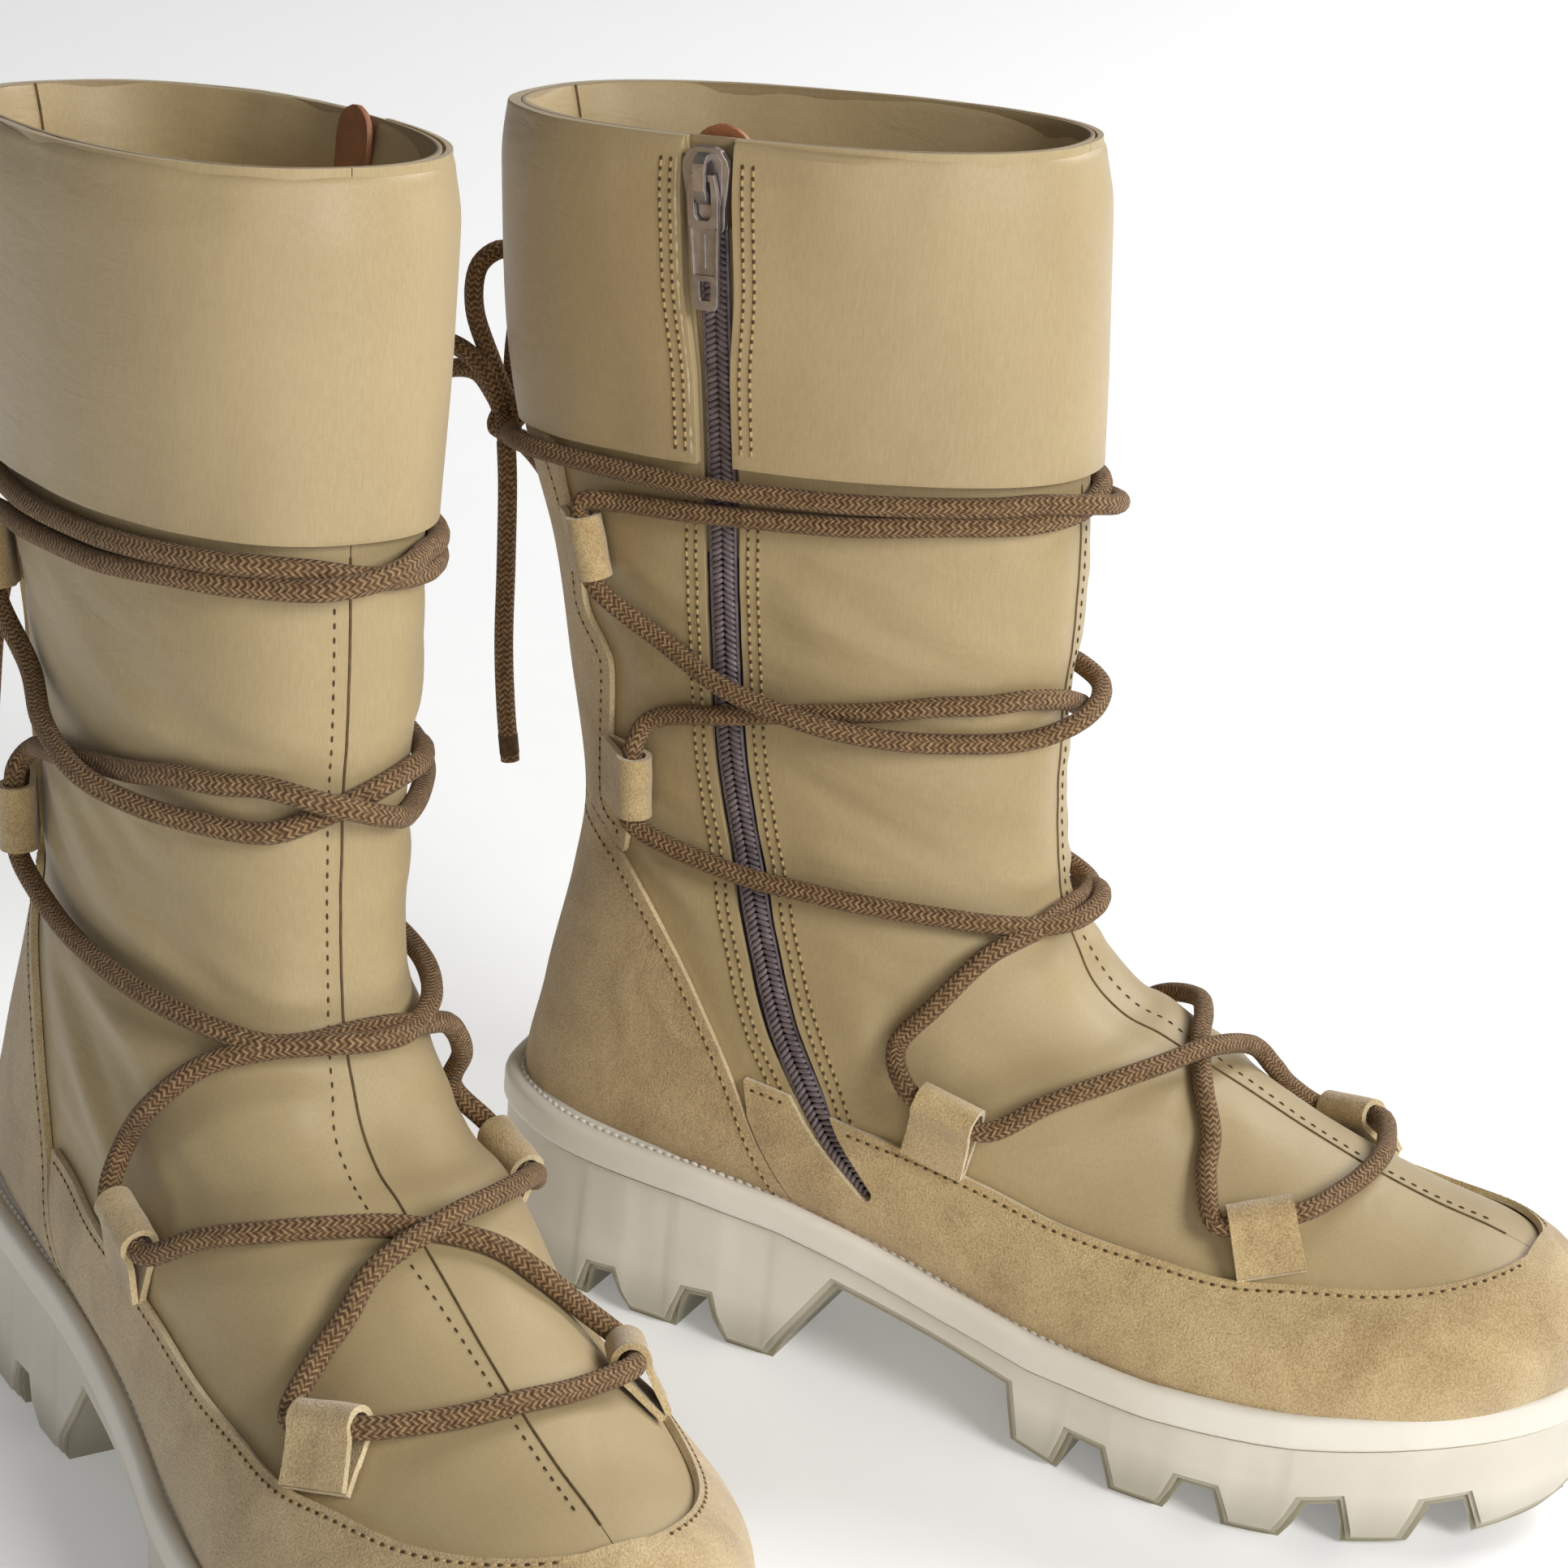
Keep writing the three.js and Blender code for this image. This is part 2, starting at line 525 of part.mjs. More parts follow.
// One half of the lace from the middle of the toe bar to the knot, as turn, place and lift on
// the upper, and the loops it goes through. lean is +1 for the half that starts towards the
// inner side. Where the halves cross on the centre line, one lies low and the other high.
function laceHalf(lean) {
  const [under, over] = lean > 0 ? [LOW, HIGH] : [HIGH, LOW];
  return [
    [-0.045, 12.95, LOW + 0.4],
    through('front'),
    [-0.106, 11.5, LOW], [-0.075, 11, LOW], [-0.035, 10.3, mix(LOW, under, 0.5)],
    [0.004, 9.57, under + 0.6], [0.04, 9.25, mix(THROAT, under, 0.5)],
    [0.085, 9.1, THROAT], [0.14, 9.1, THROAT],
    through('instep'),
    [0.195, 7.35, LOW + 0.6], [0.165, 6.6, THROAT + 0.8], [0.12, 5.85, THROAT + 0.8],
    [0.067, 5.55, THROAT], [0.03, 5.45, mix(THROAT, over, 0.7)], [0, 5.45, over + 0.4],
    [-0.03, 5.5, mix(THROAT, over, 0.7)], [-0.067, 5.5, THROAT], [-0.15, 5.38, LOW + 1.4],
    [-0.229, 5.33, LOW + 0.6], [-0.267, 5.27, LOW + 0.6],
    through('mid_rear'),
    [-0.31, 4.12, LOW], [-0.262, 3.95, LOW + 0.6], [-0.221, 3.8, LOW], [-0.146, 3.62, LOW],
    [-0.07, 3.56, LOW], [-0.03, 3.6, mix(LOW, under, 0.7)], [0, 3.68, under],
    [0.03, 3.78, mix(LOW, under, 0.7)], [0.07, 3.88, LOW], [0.13, 3.9, LOW],
    [0.18, 3.88, mix(LOW, HIGH, 0.6)], [0.221, 3.82, HIGH], [0.26, 3.7, mix(LOW, HIGH, 0.6)],
    [0.3, 3.48, LOW],
    through('upper_rear'),
    [0.315, 2.4, LOW], [0.27, 2.37, LOW], [0.212, 2.33, LOW], [0.142, 2.27, LOW],
    [0.07, 2.26, LOW], [0.03, 2.24, mix(LOW, over, 0.7)], [0, 2.2, over],
    [-0.03, 2.15, mix(LOW, over, 0.7)], [-0.07, 2.13, LOW], [-0.142, 2.14, LOW],
    [-0.212, 2.16, LOW], [-0.262, 2.16, LOW + 0.6], [-0.32, 2.14, LOW],
    [-0.38, 2.13, LOW + 1.6], [-0.44, 2.16, LOW + 3], [-0.478, 2.2, LOW + 4.5],
  ];
}

const LONGEST_TURN = 0.06;         // most of a turn between two points of the lace

// A half runs towards the inner side first when lean is +1; its mirror image runs outwards.
function lacePoints(lean) {
  const points = [];
  const onUpper = ([turn, place, lift]) => {
    points.push(upperPoint((lean * turn + 1) % 1, place, lift));
  };
  let last = null;
  for (const stop of laceHalf(lean)) {
    if (!stop.loop) {
      const pieces = last ? Math.ceil(Math.abs(stop[0] - last[0]) / LONGEST_TURN) : 1;
      for (let k = 1; k <= pieces; k++) {
        onUpper(last ? stop.map((value, i) => mix(last[i], value, k / pieces)) : stop);
      }
      last = stop;
      continue;
    }
    last = null;
    const before = points.at(-1);
    const side = before.y > 0 ? 1 : -1;
    const { centre, bore } = boreCentre(stop.loop, side);
    const forward = bore.clone();
    const rising = stop.loop.lean[0] > 0.5;
    if (rising ? forward.z < 0 : forward.x > 0) forward.negate();
    for (const step of [-BORE_RUN, BORE_RUN]) {
      points.push(centre.clone().addScaledVector(forward, step * LOOP_WIDTH));
    }
  }
  return points;
}

// A curve whose steps follow its points, so that tight bends get short steps.
class PointwiseCurve extends THREE.CatmullRomCurve3 {
  getUtoTmapping(u) {
    return u;
  }
}

function cord(points, steps) {
  const section = new THREE.Shape();
  section.absarc(0, 0, LACE_RADIUS, 0, 2 * Math.PI);
  return new THREE.ExtrudeGeometry(section, {
    steps,
    bevelEnabled: false,
    extrudePath: new PointwiseCurve(points, false, 'centripetal'),
    curveSegments: ARC_STEPS,
  });
}

function lace() {
  const start = upperPoint(0, 13, LOW + 0.4);
  const points = [...lacePoints(-1).reverse(), start, ...lacePoints(1)];
  return cord(points, points.length - 1);
}

const KNOT = [-31.5, 0, 207.5];
const BOW_UP = [[-31.5, 1, 209], [-37, 0, 220], [-43, 0.5, 232], [-44.5, 4, 242], [-40, 9, 246],
  [-36.5, 11, 238], [-35.5, 8, 222], [-32, 2, 210]];
const BOW_SIDE = [[-33, -1, 209], [-38, -3, 219], [-47, -5, 224], [-58, -7, 221], [-65, -6, 213],
  [-63, 0, 209], [-54, 3, 214], [-43, 3, 216], [-34, 1, 209]];
const TAIL_INNER = [[-30.5, -2, 201.5], [-29, -2.5, 190], [-28, -2.5, 170], [-27.5, -2, 150],
  [-26, -1.5, 133], [-24, -1, 119]];
const TAIL_OUTER = [[-30.5, 4, 201.5], [-26.5, 10, 194], [-21.5, 17.5, 181], [-17, 22.5, 166],
  [-13.5, 25, 148], [-12, 26, 131]];

const vectors = (list) => list.map((p) => new THREE.Vector3(...p));

function laceBow() {
  const knot = new THREE.SphereGeometry(1, 8, 6);
  knot.scale(4.4, 6, 5);
  knot.translate(...KNOT);
  const loop = (list) => {
    const middle = Math.floor(list.length / 2);
    const rising = toSolid(cord(vectors(list.slice(0, middle + 1)), 8));
    return rising.add(toSolid(cord(vectors(list.slice(middle - 1)), 8)));
  };
  return largest(toSolid(knot).add(loop(BOW_UP)).add(loop(BOW_SIDE)));
}

// ---------------------------------------------------------------- assembly

const material = ([colour, roughness], metalness = 0) => new THREE.MeshStandardMaterial({
  color: colour, roughness, metalness,
});

const parts = {};

function add(name, solid, colour, metalness) {
  parts[name] = { geometry: toGeometry(solid), material: material(COLOURS[colour], metalness) };
}

add('outsole', outsole(), 'rubber');
add('welt', welt(), 'welt');
add('insole_board', insoleBoard(), 'board');
add('footbed', footbed(), 'felt');
add('heel_stiffener', heelStiffener(), 'stiff');
add('lining', lining(), 'nylonInside');
add('nylon_lateral', nylonLateral(), 'nylon');
add('nylon_medial_front', nylonMedial(true), 'nylon');
add('nylon_medial_rear', nylonMedial(false), 'nylon');
add('collar_cuff', collarCuff(), 'nylon');
add('heel_counter', heelCounter(), 'suede');
add('toe_rand', toeRand(), 'suede');
add('backstay', backstay(), 'suede');
for (const loop of LOOPS) {
  for (const [side, word] of [[-1, 'medial'], [1, 'lateral']]) {
    add(`loop_${loop.name}_${word}`, toSolid(laceLoop(loop, side)), 'suede');
  }
}

add('zip_tape', zipTape(), 'tape');
add('zip_coil', zipCoil(), 'zip');
add('zip_garage', zipGarage(), 'tan');
add('zip_slider', onSlider(zipSlider()), 'metal', 0.8);
add('pull_tab', onSlider(pullTab().translate([PIVOT.x, 0, PIVOT.z])), 'metal', 0.8);
add('lace', toSolid(lace()), 'lace');
add('lace_bow', laceBow(), 'lace');
add('lace_tail_inner', toSolid(cord(vectors(TAIL_INNER), 5)), 'lace');
add('lace_tail_outer', toSolid(cord(vectors(TAIL_OUTER), 5)), 'lace');

function boot(prefix, mirrored) {
  const group = new THREE.Group();
  for (const [name, { geometry, material: look }] of Object.entries(parts)) {
    const shape = geometry.clone();
    if (mirrored) {
      shape.scale(1, -1, 1);
      const index = shape.index.array;
      for (let i = 0; i < index.length; i += 3) [index[i], index[i + 1]] = [index[i + 1], index[i]];
      shape.computeVertexNormals();
    }
    const mesh = new THREE.Mesh(shape, look);
    mesh.name = `${prefix}_${name}`;
    group.add(mesh);
  }
  return group;
}

// The middle of the pair's base, leaving out the bows and tails that hang free.
function baseCentre(group) {
  group.updateMatrixWorld(true);
  const bounds = new THREE.Box3();
  group.traverse((item) => {
    if (item.isMesh && !/_lace_(bow|tail)/.test(item.name)) bounds.expandByObject(item, true);
  });
  const centre = bounds.getCenter(new THREE.Vector3());
  return centre.setZ(bounds.min.z);
}

const left = boot('left', false);
const right = boot('right', true);
right.position.copy(RIGHT_HEEL);
right.rotation.z = RIGHT_TURN;
const pair = new THREE.Group();
pair.add(left, right);
const centre = baseCentre(pair);
left.position.sub(centre);
right.position.sub(centre);

export default pair;
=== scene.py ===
"""Looks of a pair of mid-calf lace-wrap winter boots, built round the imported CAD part.

Each piece is made once for the left boot, in millimetres, heel at x = 0, toe along +X and inner
side -Y. place() moves it to the left boot, or mirrors it to the right one, in metres.
"""

import math

import bmesh
import bpy
import numpy as np
from mathutils import Matrix, Vector, kdtree, noise


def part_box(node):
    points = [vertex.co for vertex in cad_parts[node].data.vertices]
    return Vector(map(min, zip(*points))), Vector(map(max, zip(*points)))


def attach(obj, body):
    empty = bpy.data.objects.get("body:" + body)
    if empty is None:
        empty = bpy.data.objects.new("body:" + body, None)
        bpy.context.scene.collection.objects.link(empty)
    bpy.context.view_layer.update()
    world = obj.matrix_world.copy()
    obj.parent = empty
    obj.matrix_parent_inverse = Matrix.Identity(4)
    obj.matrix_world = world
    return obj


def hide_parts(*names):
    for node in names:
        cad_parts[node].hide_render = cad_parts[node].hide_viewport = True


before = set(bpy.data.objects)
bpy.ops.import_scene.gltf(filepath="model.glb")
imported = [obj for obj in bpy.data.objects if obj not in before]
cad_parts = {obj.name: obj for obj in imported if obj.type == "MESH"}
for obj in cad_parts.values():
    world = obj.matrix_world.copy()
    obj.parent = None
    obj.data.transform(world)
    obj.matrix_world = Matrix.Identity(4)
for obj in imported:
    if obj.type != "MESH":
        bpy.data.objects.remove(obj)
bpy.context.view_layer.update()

# ------------------------------------------------------------------ sizes in millimetres
# Those that the CAD part has too are the same there.

NYLON = 1.4
SUEDE = 1.6
LINING = 1.1
STIFFENER = 1.4
TAPE = 0.7
AIR = 0.3                   # clearance between two layers
LINING_LIFT = -3.5
CUFF_OUT = 3.2
CUFF_IN = -5.0
CUFF = 2.2
CUFF_FOOT = 2.0             # place of the collar's outer hem
CUFF_INNER_FOOT = 3.2       # place of its inner hem
RIM_TILT = 0.07             # the rim stands higher at the rear, in places
LACE_RADIUS = 2.4
LOW = LACE_RADIUS + 1
HIGH = LOW + 2 * LACE_RADIUS + 0.6
THROAT = LOW + 2.2
SNUG = 0.55                 # the lace lies this much closer to the cloth than its solid
LONGEST_TURN = 0.06         # most of a turn between two points of the lace
LOOP_WIDTH = 16
LOOP_BORE = 2.9
LOOP_WALL = 1.4
BORE_RUN = 0.65
ZIP_TAPE = 13
ZIP_MOUTH = 4.6             # half width of the opening over the zip, below the slider
SHAFT_MOUTH = 6             # at the slider, in the shaft's cloth
CUFF_MOUTH = 6.4            # at the slider, in the collar
WIDENING = (236, 262)       # heights between which the opening widens to the slider
CLOSING = (46, 84)          # heights between which it narrows to the zip's foot
ROWS_ON_SHAFT = (60, 214)   # heights of the stitches beside the zip
ROWS_ON_CUFF = (221, 289)
BINDING = (220, 289)        # heights of the pale binding
ZIP_ROW_GAPS = (2.2, 4.7)   # from the opening's edge to the two rows
ZIP_ROW_PITCH = 2.3
SUEDE_ROW_PITCH = 2.6
PROUD = 0.12                # stitches beside the zip stand this far off the cloth
TAPE_TOP = 287
COIL_TOP = 288
SLIDER_NARROW = 0.87        # share of its CAD width that the slider has here
SLIDER_HEIGHT = 282
SLIDER_LENGTH = 19
TAB_LENGTH = 30
PIVOT = (-3, 4.3)
WELT_BAND = 8.5
SOLE_INSET = 1.2
WELT_ROW_INSET = 4.35       # stitches in the welt's groove, from its edge
LUG_TIP = 6.0               # height over which the lugs narrow
SOLE_MIDDLE = 129           # halfway from heel to toe
HEEL_REAR = 12
RIGHT_FROM_LEFT = (-78, -96.3)    # right heel from the left one
RIGHT_TURN = math.radians(-31.9)

# rear x, z; front x, z; half width; belly; crest; base; reach
STATIONS = np.array([
    [-30, 288, 111, 298, 42, 0.5, 2.3, 2.3, 0],
    [-27, 249, 115, 259.5, 39, 0.5, 2.3, 2.3, 0],
    [-21, 213, 118.5, 224, 35.5, 0.5, 2.3, 2.3, 0],
    [-10.5, 184, 120.8, 191, 33.5, 0.5, 2.3, 2.3, 0],
    [-4, 155, 120.9, 159, 31.2, 0.5, 2.3, 2.3, 0],
    [3, 124, 124, 129, 30.6, 0.5, 2.3, 2.4, 0],
    [2.5, 102, 130, 111.5, 33, 0.5, 2.6, 2.6, 0],
    [-2, 72, 136, 101.5, 36, 0.5, 3, 2.8, 0],
    [-3, 42, 145, 95, 38.5, 0.5, 3, 3, 0],
    [30, 36, 155, 92.5, 41, 0.5, 3, 3.3, 0],
    [70, 34, 166, 89, 42, 0.45, 2.6, 3.3, 0],
    [105, 29, 180, 84, 43, 0.38, 2.2, 3, 0],
    [140, 23, 194, 79, 46.5, 0.32, 1.9, 3, 0],
    [175, 22, 210, 74, 50, 0.28, 1.8, 3, 0],
    [205, 23, 226, 70, 48.5, 0.28, 1.8, 3, 0.1],
    [232, 26, 241, 67.5, 40, 0.28, 2, 3, 0.3],
    [250, 29, 253, 64, 28, 0.3, 2.2, 2.6, 0.6],
    [260, 32, 261, 58, 15, 0.4, 2.2, 2.2, 0.9],
    [265, 38, 265, 49, 4, 0.5, 2, 2, 1],
])
LAST = len(STATIONS) - 1
FEATHER = [(-20, 49.5), (20, 47.3), (55, 46), (80, 44.3), (100, 41), (125, 36), (150, 32.6),
           (180, 32), (215, 33.8), (245, 36.5), (280, 39.5)]
WELT_EDGE = [(-12, 0), (-7, 24), (10, 38), (30, 43.5), (60, 44.8), (95, 44.8), (125, 47),
             (155, 52), (183, 54.8), (210, 52.5), (233, 43.5), (253, 29), (265, 14), (270, 0)]
TREAD = [(-14, 4), (-10, 0), (27, 0), (31, 9), (36, 9.5), (40, 0), (53, 0), (58, 11), (63, 11.5),
         (67, 0), (80, 0), (97, 25), (112, 22.5), (144, 17), (147, 3), (160, 0), (163, 10.5),
         (170, 10), (174, 0), (188, 0), (191, 9), (198, 9), (202, 0), (215, 0), (219, 10.5),
         (225, 11.5), (228, 0.6), (241, 1.4), (244, 12), (250, 13), (253, 3.5), (268, 8),
         (275, 14)]
COUNTER_EDGE = [(5, 122), (24, 113), (42, 96.5), (55.4, 80), (68, 62), (83, 42)]
RAND_EDGE = [(66, 71), (79, 70), (93, 68), (110, 66.5), (130, 63.5), (150, 59.5), (172, 58),
             (190, 57.5), (208, 59.5), (225, 61), (240, 64), (250.6, 66.8)]
BACKSTAY_EDGE = [(-7, 212), (-1, 201), (4.4, 182), (6.4, 172), (13.5, 164), (15.7, 157),
                 (16.2, 127), (23, 121), (23.5, 114.6)]
STIFFENER_EDGE = [(-40, 100), (14, 96), (40, 78), (62, 50), (66, 20), (-40, 20)]
ZIP_LINE = [(38.1, 292), (41.6, 250), (44.6, 212.6), (47.9, 173), (50.5, 150), (55.2, 131),
            (63, 108), (74, 84), (88, 65), (102, 52)]
ZIP_ABOVE = (37.2, 305)
INSIDE_SEAM = 0.46
# foot x, z; strip direction x, z; length; stand
LOOPS = {
    "front": ((199.5, 60.4), (-0.3, 1), 10.5, 0.7),
    "instep": ((118.5, 67.3), (0.2, 1), 12.5, 0.7),
    "mid_rear": ((20, 135), (1, 0.05), 11.5, 1.6),
    "upper_rear": ((6, 190.5), (1, 0.25), 9.5, 1.4),
}
KNOT = (-31.5, 0, 207.5)
BOW_UP = [(-31.5, 1, 209), (-37, 0, 220), (-43, 0.5, 232), (-44.5, 4, 242), (-40, 9, 246),
          (-36.5, 11, 238), (-35.5, 8, 222), (-32, 2, 210)]
BOW_SIDE = [(-33, -1, 209), (-38, -3, 219), (-47, -5, 224), (-58, -7, 221), (-65, -6, 213),
            (-63, 0, 209), (-54, 3, 214), (-43, 3, 216), (-34, 1, 209)]
TAIL_INNER = [(-30.5, -2, 201.5), (-29, -2.5, 190), (-28, -2.5, 170), (-27.5, -2, 150),
              (-26, -1.5, 133), (-24, -1, 119)]
TAIL_OUTER = [(-30.5, 4, 201.5), (-26.5, 10, 194), (-21.5, 17.5, 181), (-17, 22.5, 166),
              (-13.5, 25, 148), (-12, 26, 131)]

SIDES = ("left", "right")


# ------------------------------------------------------------------ camera, lights and floor

CAMERA_FROM_HEEL = (0.3913, -0.7613, 0.444)    # from the left heel, in metres
CAMERA_HEADING = (-0.4074, 0.9133)             # seen from above
CAMERA_DOWN = math.radians(20.59)
CAMERA_ROLL = math.radians(5.45)
CAMERA_LENS = 83.72                            # for a sensor 36 mm wide


def add_camera():
    """The photo's view."""
    position = Vector((*left_heel(), 0)) + Vector(CAMERA_FROM_HEEL)
    down, roll = CAMERA_DOWN, CAMERA_ROLL
    ahead_x, ahead_y = CAMERA_HEADING
    forward = Vector((ahead_x * math.cos(down), ahead_y * math.cos(down), -math.sin(down)))
    level = Vector((ahead_y, -ahead_x, 0)).normalized()
    upward = level.cross(forward)
    right = math.cos(roll) * level + math.sin(roll) * upward
    up = math.cos(roll) * upward - math.sin(roll) * level
    data = bpy.data.cameras.new("camera")
    data.lens = CAMERA_LENS
    data.sensor_width = 36
    data.clip_end = 20
    camera = bpy.data.objects.new("camera", data)
    turn = Matrix((right, up, -forward)).transposed().to_4x4()
    camera.matrix_world = Matrix.Translation(position) @ turn
    bpy.context.scene.collection.objects.link(camera)
    bpy.context.scene.camera = camera


def add_light(name, position, target, size, power):
    data = bpy.data.lights.new(name, "AREA")
    data.shape = "DISK"
    data.size = size
    data.energy = power
    lamp = bpy.data.objects.new(name, data)
    lamp.location = position
    aim = Vector(target) - Vector(position)
    lamp.rotation_mode = "QUATERNION"
    lamp.rotation_quaternion = aim.to_track_quat("-Z", "Y")
    bpy.context.scene.collection.objects.link(lamp)


def add_studio():
    """Soft daylight from the right of the picture on a white ground."""
    middle = (0, 0, 0.15)
    add_light("key", (1.5, -0.6, 1.1), middle, 0.8, 24)
    add_light("front_fill", (0.9, -1.6, 0.5), middle, 1.2, 6)
    add_light("rear_rim", (0.6, 1.3, 1.2), middle, 1, 6)
    add_light("backdrop", (1.1, 2.9, 2.2), (-0.9, 2.4, 0), 2.6, 90)
    world = bpy.data.worlds.new("studio")
    world.use_nodes = True
    world.node_tree.nodes["Background"].inputs["Color"].default_value = (1, 1, 1, 1)
    world.node_tree.nodes["Background"].inputs["Strength"].default_value = 0.14
    bpy.context.scene.world = world
    bpy.context.scene.view_settings.view_transform = "Standard"


def add_floor():
    mesh = bpy.data.meshes.new("floor")
    reach = 6
    corners = [(-reach, -reach, 0), (reach, -reach, 0), (reach, reach, 0), (-reach, reach, 0)]
    mesh.from_pydata(corners, [], [(0, 1, 2, 3)])
    floor = bpy.data.objects.new("floor", mesh)
    bpy.context.scene.collection.objects.link(floor)
    mat = Finish("floor_paint")
    grain = noise_node(mat, 40, 3)
    colour = ramp_node(mat, grain, [(0.3, (0.90, 0.90, 0.895)), (0.7, (0.92, 0.92, 0.915))])
    mat.link(colour, mat.bsdf.inputs["Base Color"])
    mat.bsdf.inputs["Roughness"].default_value = 0.9
    mat.bsdf.inputs["Emission Color"].default_value = (1, 1, 1, 1)
    mat.bsdf.inputs["Emission Strength"].default_value = 0.2
    mesh.materials.append(mat.data)


# ------------------------------------------------------------------ frames of the two boots

def left_heel():
    """The left boot's heel in the frame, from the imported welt."""
    low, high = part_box("left_welt")
    return low.x + HEEL_REAR / 1000, (low.y + high.y) / 2


def place(points, side):
    """Boot millimetres to frame metres, for one boot."""
    p = np.array(points, float).reshape(-1, 3) / 1000
    heel_x, heel_y = left_heel()
    if side == "left":
        return p + (heel_x, heel_y, 0)
    c, s = math.cos(RIGHT_TURN), math.sin(RIGHT_TURN)
    x, y = p[:, 0], -p[:, 1]
    heel_x += RIGHT_FROM_LEFT[0] / 1000
    heel_y += RIGHT_FROM_LEFT[1] / 1000
    return np.stack([heel_x + x * c - y * s, heel_y + x * s + y * c, p[:, 2]], 1)


# ------------------------------------------------------------------ the surface of the upper

def section(where):
    """The stations' values at a place between them, as columns."""
    at = np.clip(np.asarray(where, float), 0, LAST)
    i = np.minimum(at.astype(int), LAST - 1)
    t = (at - i)[..., None]
    a, b = STATIONS[np.maximum(i - 1, 0)], STATIONS[i]
    c, d = STATIONS[i + 1], STATIONS[np.minimum(i + 2, LAST)]
    return 0.5 * (2 * b + (c - a) * t + (2 * a - 5 * b + 4 * c - d) * t * t
                  + (3 * b - a - 3 * c + d) * t * t * t)


def power(value, exponent):
    """A superellipse's power, with the sign kept."""
    return np.sign(value) * np.abs(value) ** (2 / exponent)


def upper(turn, where, lift=0.0):
    """Points of the upper: turn 0 front, 0.25 outer side, 0.5 rear, 0.75 inner side."""
    turn, where, lift = np.broadcast_arrays(
        np.asarray(turn, float), np.asarray(where, float), np.asarray(lift, float))
    s = section(where)
    rx, rz, fx, fz, half, belly, crest, base, reach = np.moveaxis(s, -1, 0)
    length = np.hypot(fx - rx, fz - rz)
    ax, az = (fx - rx) / length, (fz - rz) / length
    angle = 2 * np.pi * turn
    ahead = np.cos(angle) >= 0
    exponent = np.where(ahead, crest, base)
    span = np.where(ahead, (1 - belly) * length, belly * length) + lift
    step = power(np.cos(angle), exponent) * span + belly * length
    y = power(np.sin(angle), exponent) * (half + lift)
    return np.stack([rx + ax * step + reach * lift, y, rz + az * step], -1)


def find_on_side(x, z, side):
    """Turn and place of the points with this x and z on the side of that sign."""
    x, z = np.atleast_1d(np.asarray(x, float)), np.atleast_1d(np.asarray(z, float))
    steps = np.linspace(0, LAST, 61)
    turn = np.full(x.shape, 0.25 if side > 0 else 0.75)
    middle = upper(turn[0], steps)
    miss = np.hypot(middle[None, :, 0] - x[:, None], middle[None, :, 2] - z[:, None])
    where = steps[np.argmin(miss, 1)]
    h = 1e-3
    for _ in range(60):
        p = upper(turn, where)
        a = (upper(turn + h, where) - p) / h
        b = (upper(turn, where + h) - p) / h
        det = a[:, 0] * b[:, 2] - a[:, 2] * b[:, 0]
        ex, ez = x - p[:, 0], z - p[:, 2]
        turn = turn + 0.5 * np.clip((ex * b[:, 2] - ez * b[:, 0]) / det, -0.1, 0.1)
        where = where + 0.5 * np.clip((a[:, 0] * ez - a[:, 2] * ex) / det, -2, 2)
    return turn, where


def normals_at(turn, where):
    h = 2e-3
    around = upper(np.asarray(turn) + h, where) - upper(np.asarray(turn) - h, where)
    down = upper(turn, np.asarray(where) + 10 * h) - upper(turn, np.asarray(where) - 10 * h)
    return unit(np.cross(down, around))


def feather_height(x):
    """Height of the line where the upper meets the welt."""
    return np.interp(x, [p[0] for p in FEATHER], [p[1] for p in FEATHER])


def between(values, limits):
    return (values > limits[0]) & (values < limits[1])


def smoothstep(low, high, value):
    t = np.clip((value - low) / (high - low), 0, 1)
    return t * t * (3 - 2 * t)


def spline(points, count):
    """A Catmull-Rom curve through the points, evenly spaced."""
    p = np.array(points, float)
    q = np.concatenate([2 * p[:1] - p[1:2], p, 2 * p[-1:] - p[-2:-1]])
    t = np.linspace(0, 1, 12, endpoint=False)[:, None]
    pieces = []
    for a, b, c, d in zip(q, q[1:], q[2:], q[3:]):
        pieces.append(0.5 * (2 * b + (c - a) * t + (2 * a - 5 * b + 4 * c - d) * t * t
                             + (3 * b - a - 3 * c + d) * t * t * t))
    dense = np.concatenate(pieces + [q[-2:-1]])
    return resample(dense, count)


def resample(points, count):
    along = lengths_along(points)
    wanted = np.linspace(0, along[-1], count)
    return np.stack([np.interp(wanted, along, points[:, k]) for k in range(points.shape[1])], 1)


def unit(vectors):
    return vectors / (np.linalg.norm(vectors, axis=-1, keepdims=True) + 1e-12)


def directions(line):
    """Unit directions along a line, one at each point."""
    return unit(np.gradient(line, axis=0))


def to_left(ahead):
    """Directions in a plane, turned a quarter turn to the left."""
    return np.stack([-ahead[:, 1], ahead[:, 0]], 1)


def lengths_along(points):
    """Distance from the first point to each point of a line."""
    return np.concatenate([[0], np.cumsum(np.linalg.norm(np.diff(points, axis=0), axis=1))])


def nearest_on_line(points, line):
    """Distance of points in a plane to a polyline, and 1 or -1 for the side they lie on."""
    best = np.full(len(points), 1e9)
    side = np.ones(len(points))
    for a, b in zip(line, line[1:]):
        ab = b - a
        t = np.clip(((points - a) @ ab) / (ab @ ab), 0, 1)
        away = points - a - t[:, None] * ab
        distance = np.linalg.norm(away, axis=1)
        nearer = distance < best
        best[nearer] = distance[nearer]
        side[nearer] = np.sign(ab[0] * away[nearer, 1] - ab[1] * away[nearer, 0])
    return best, side


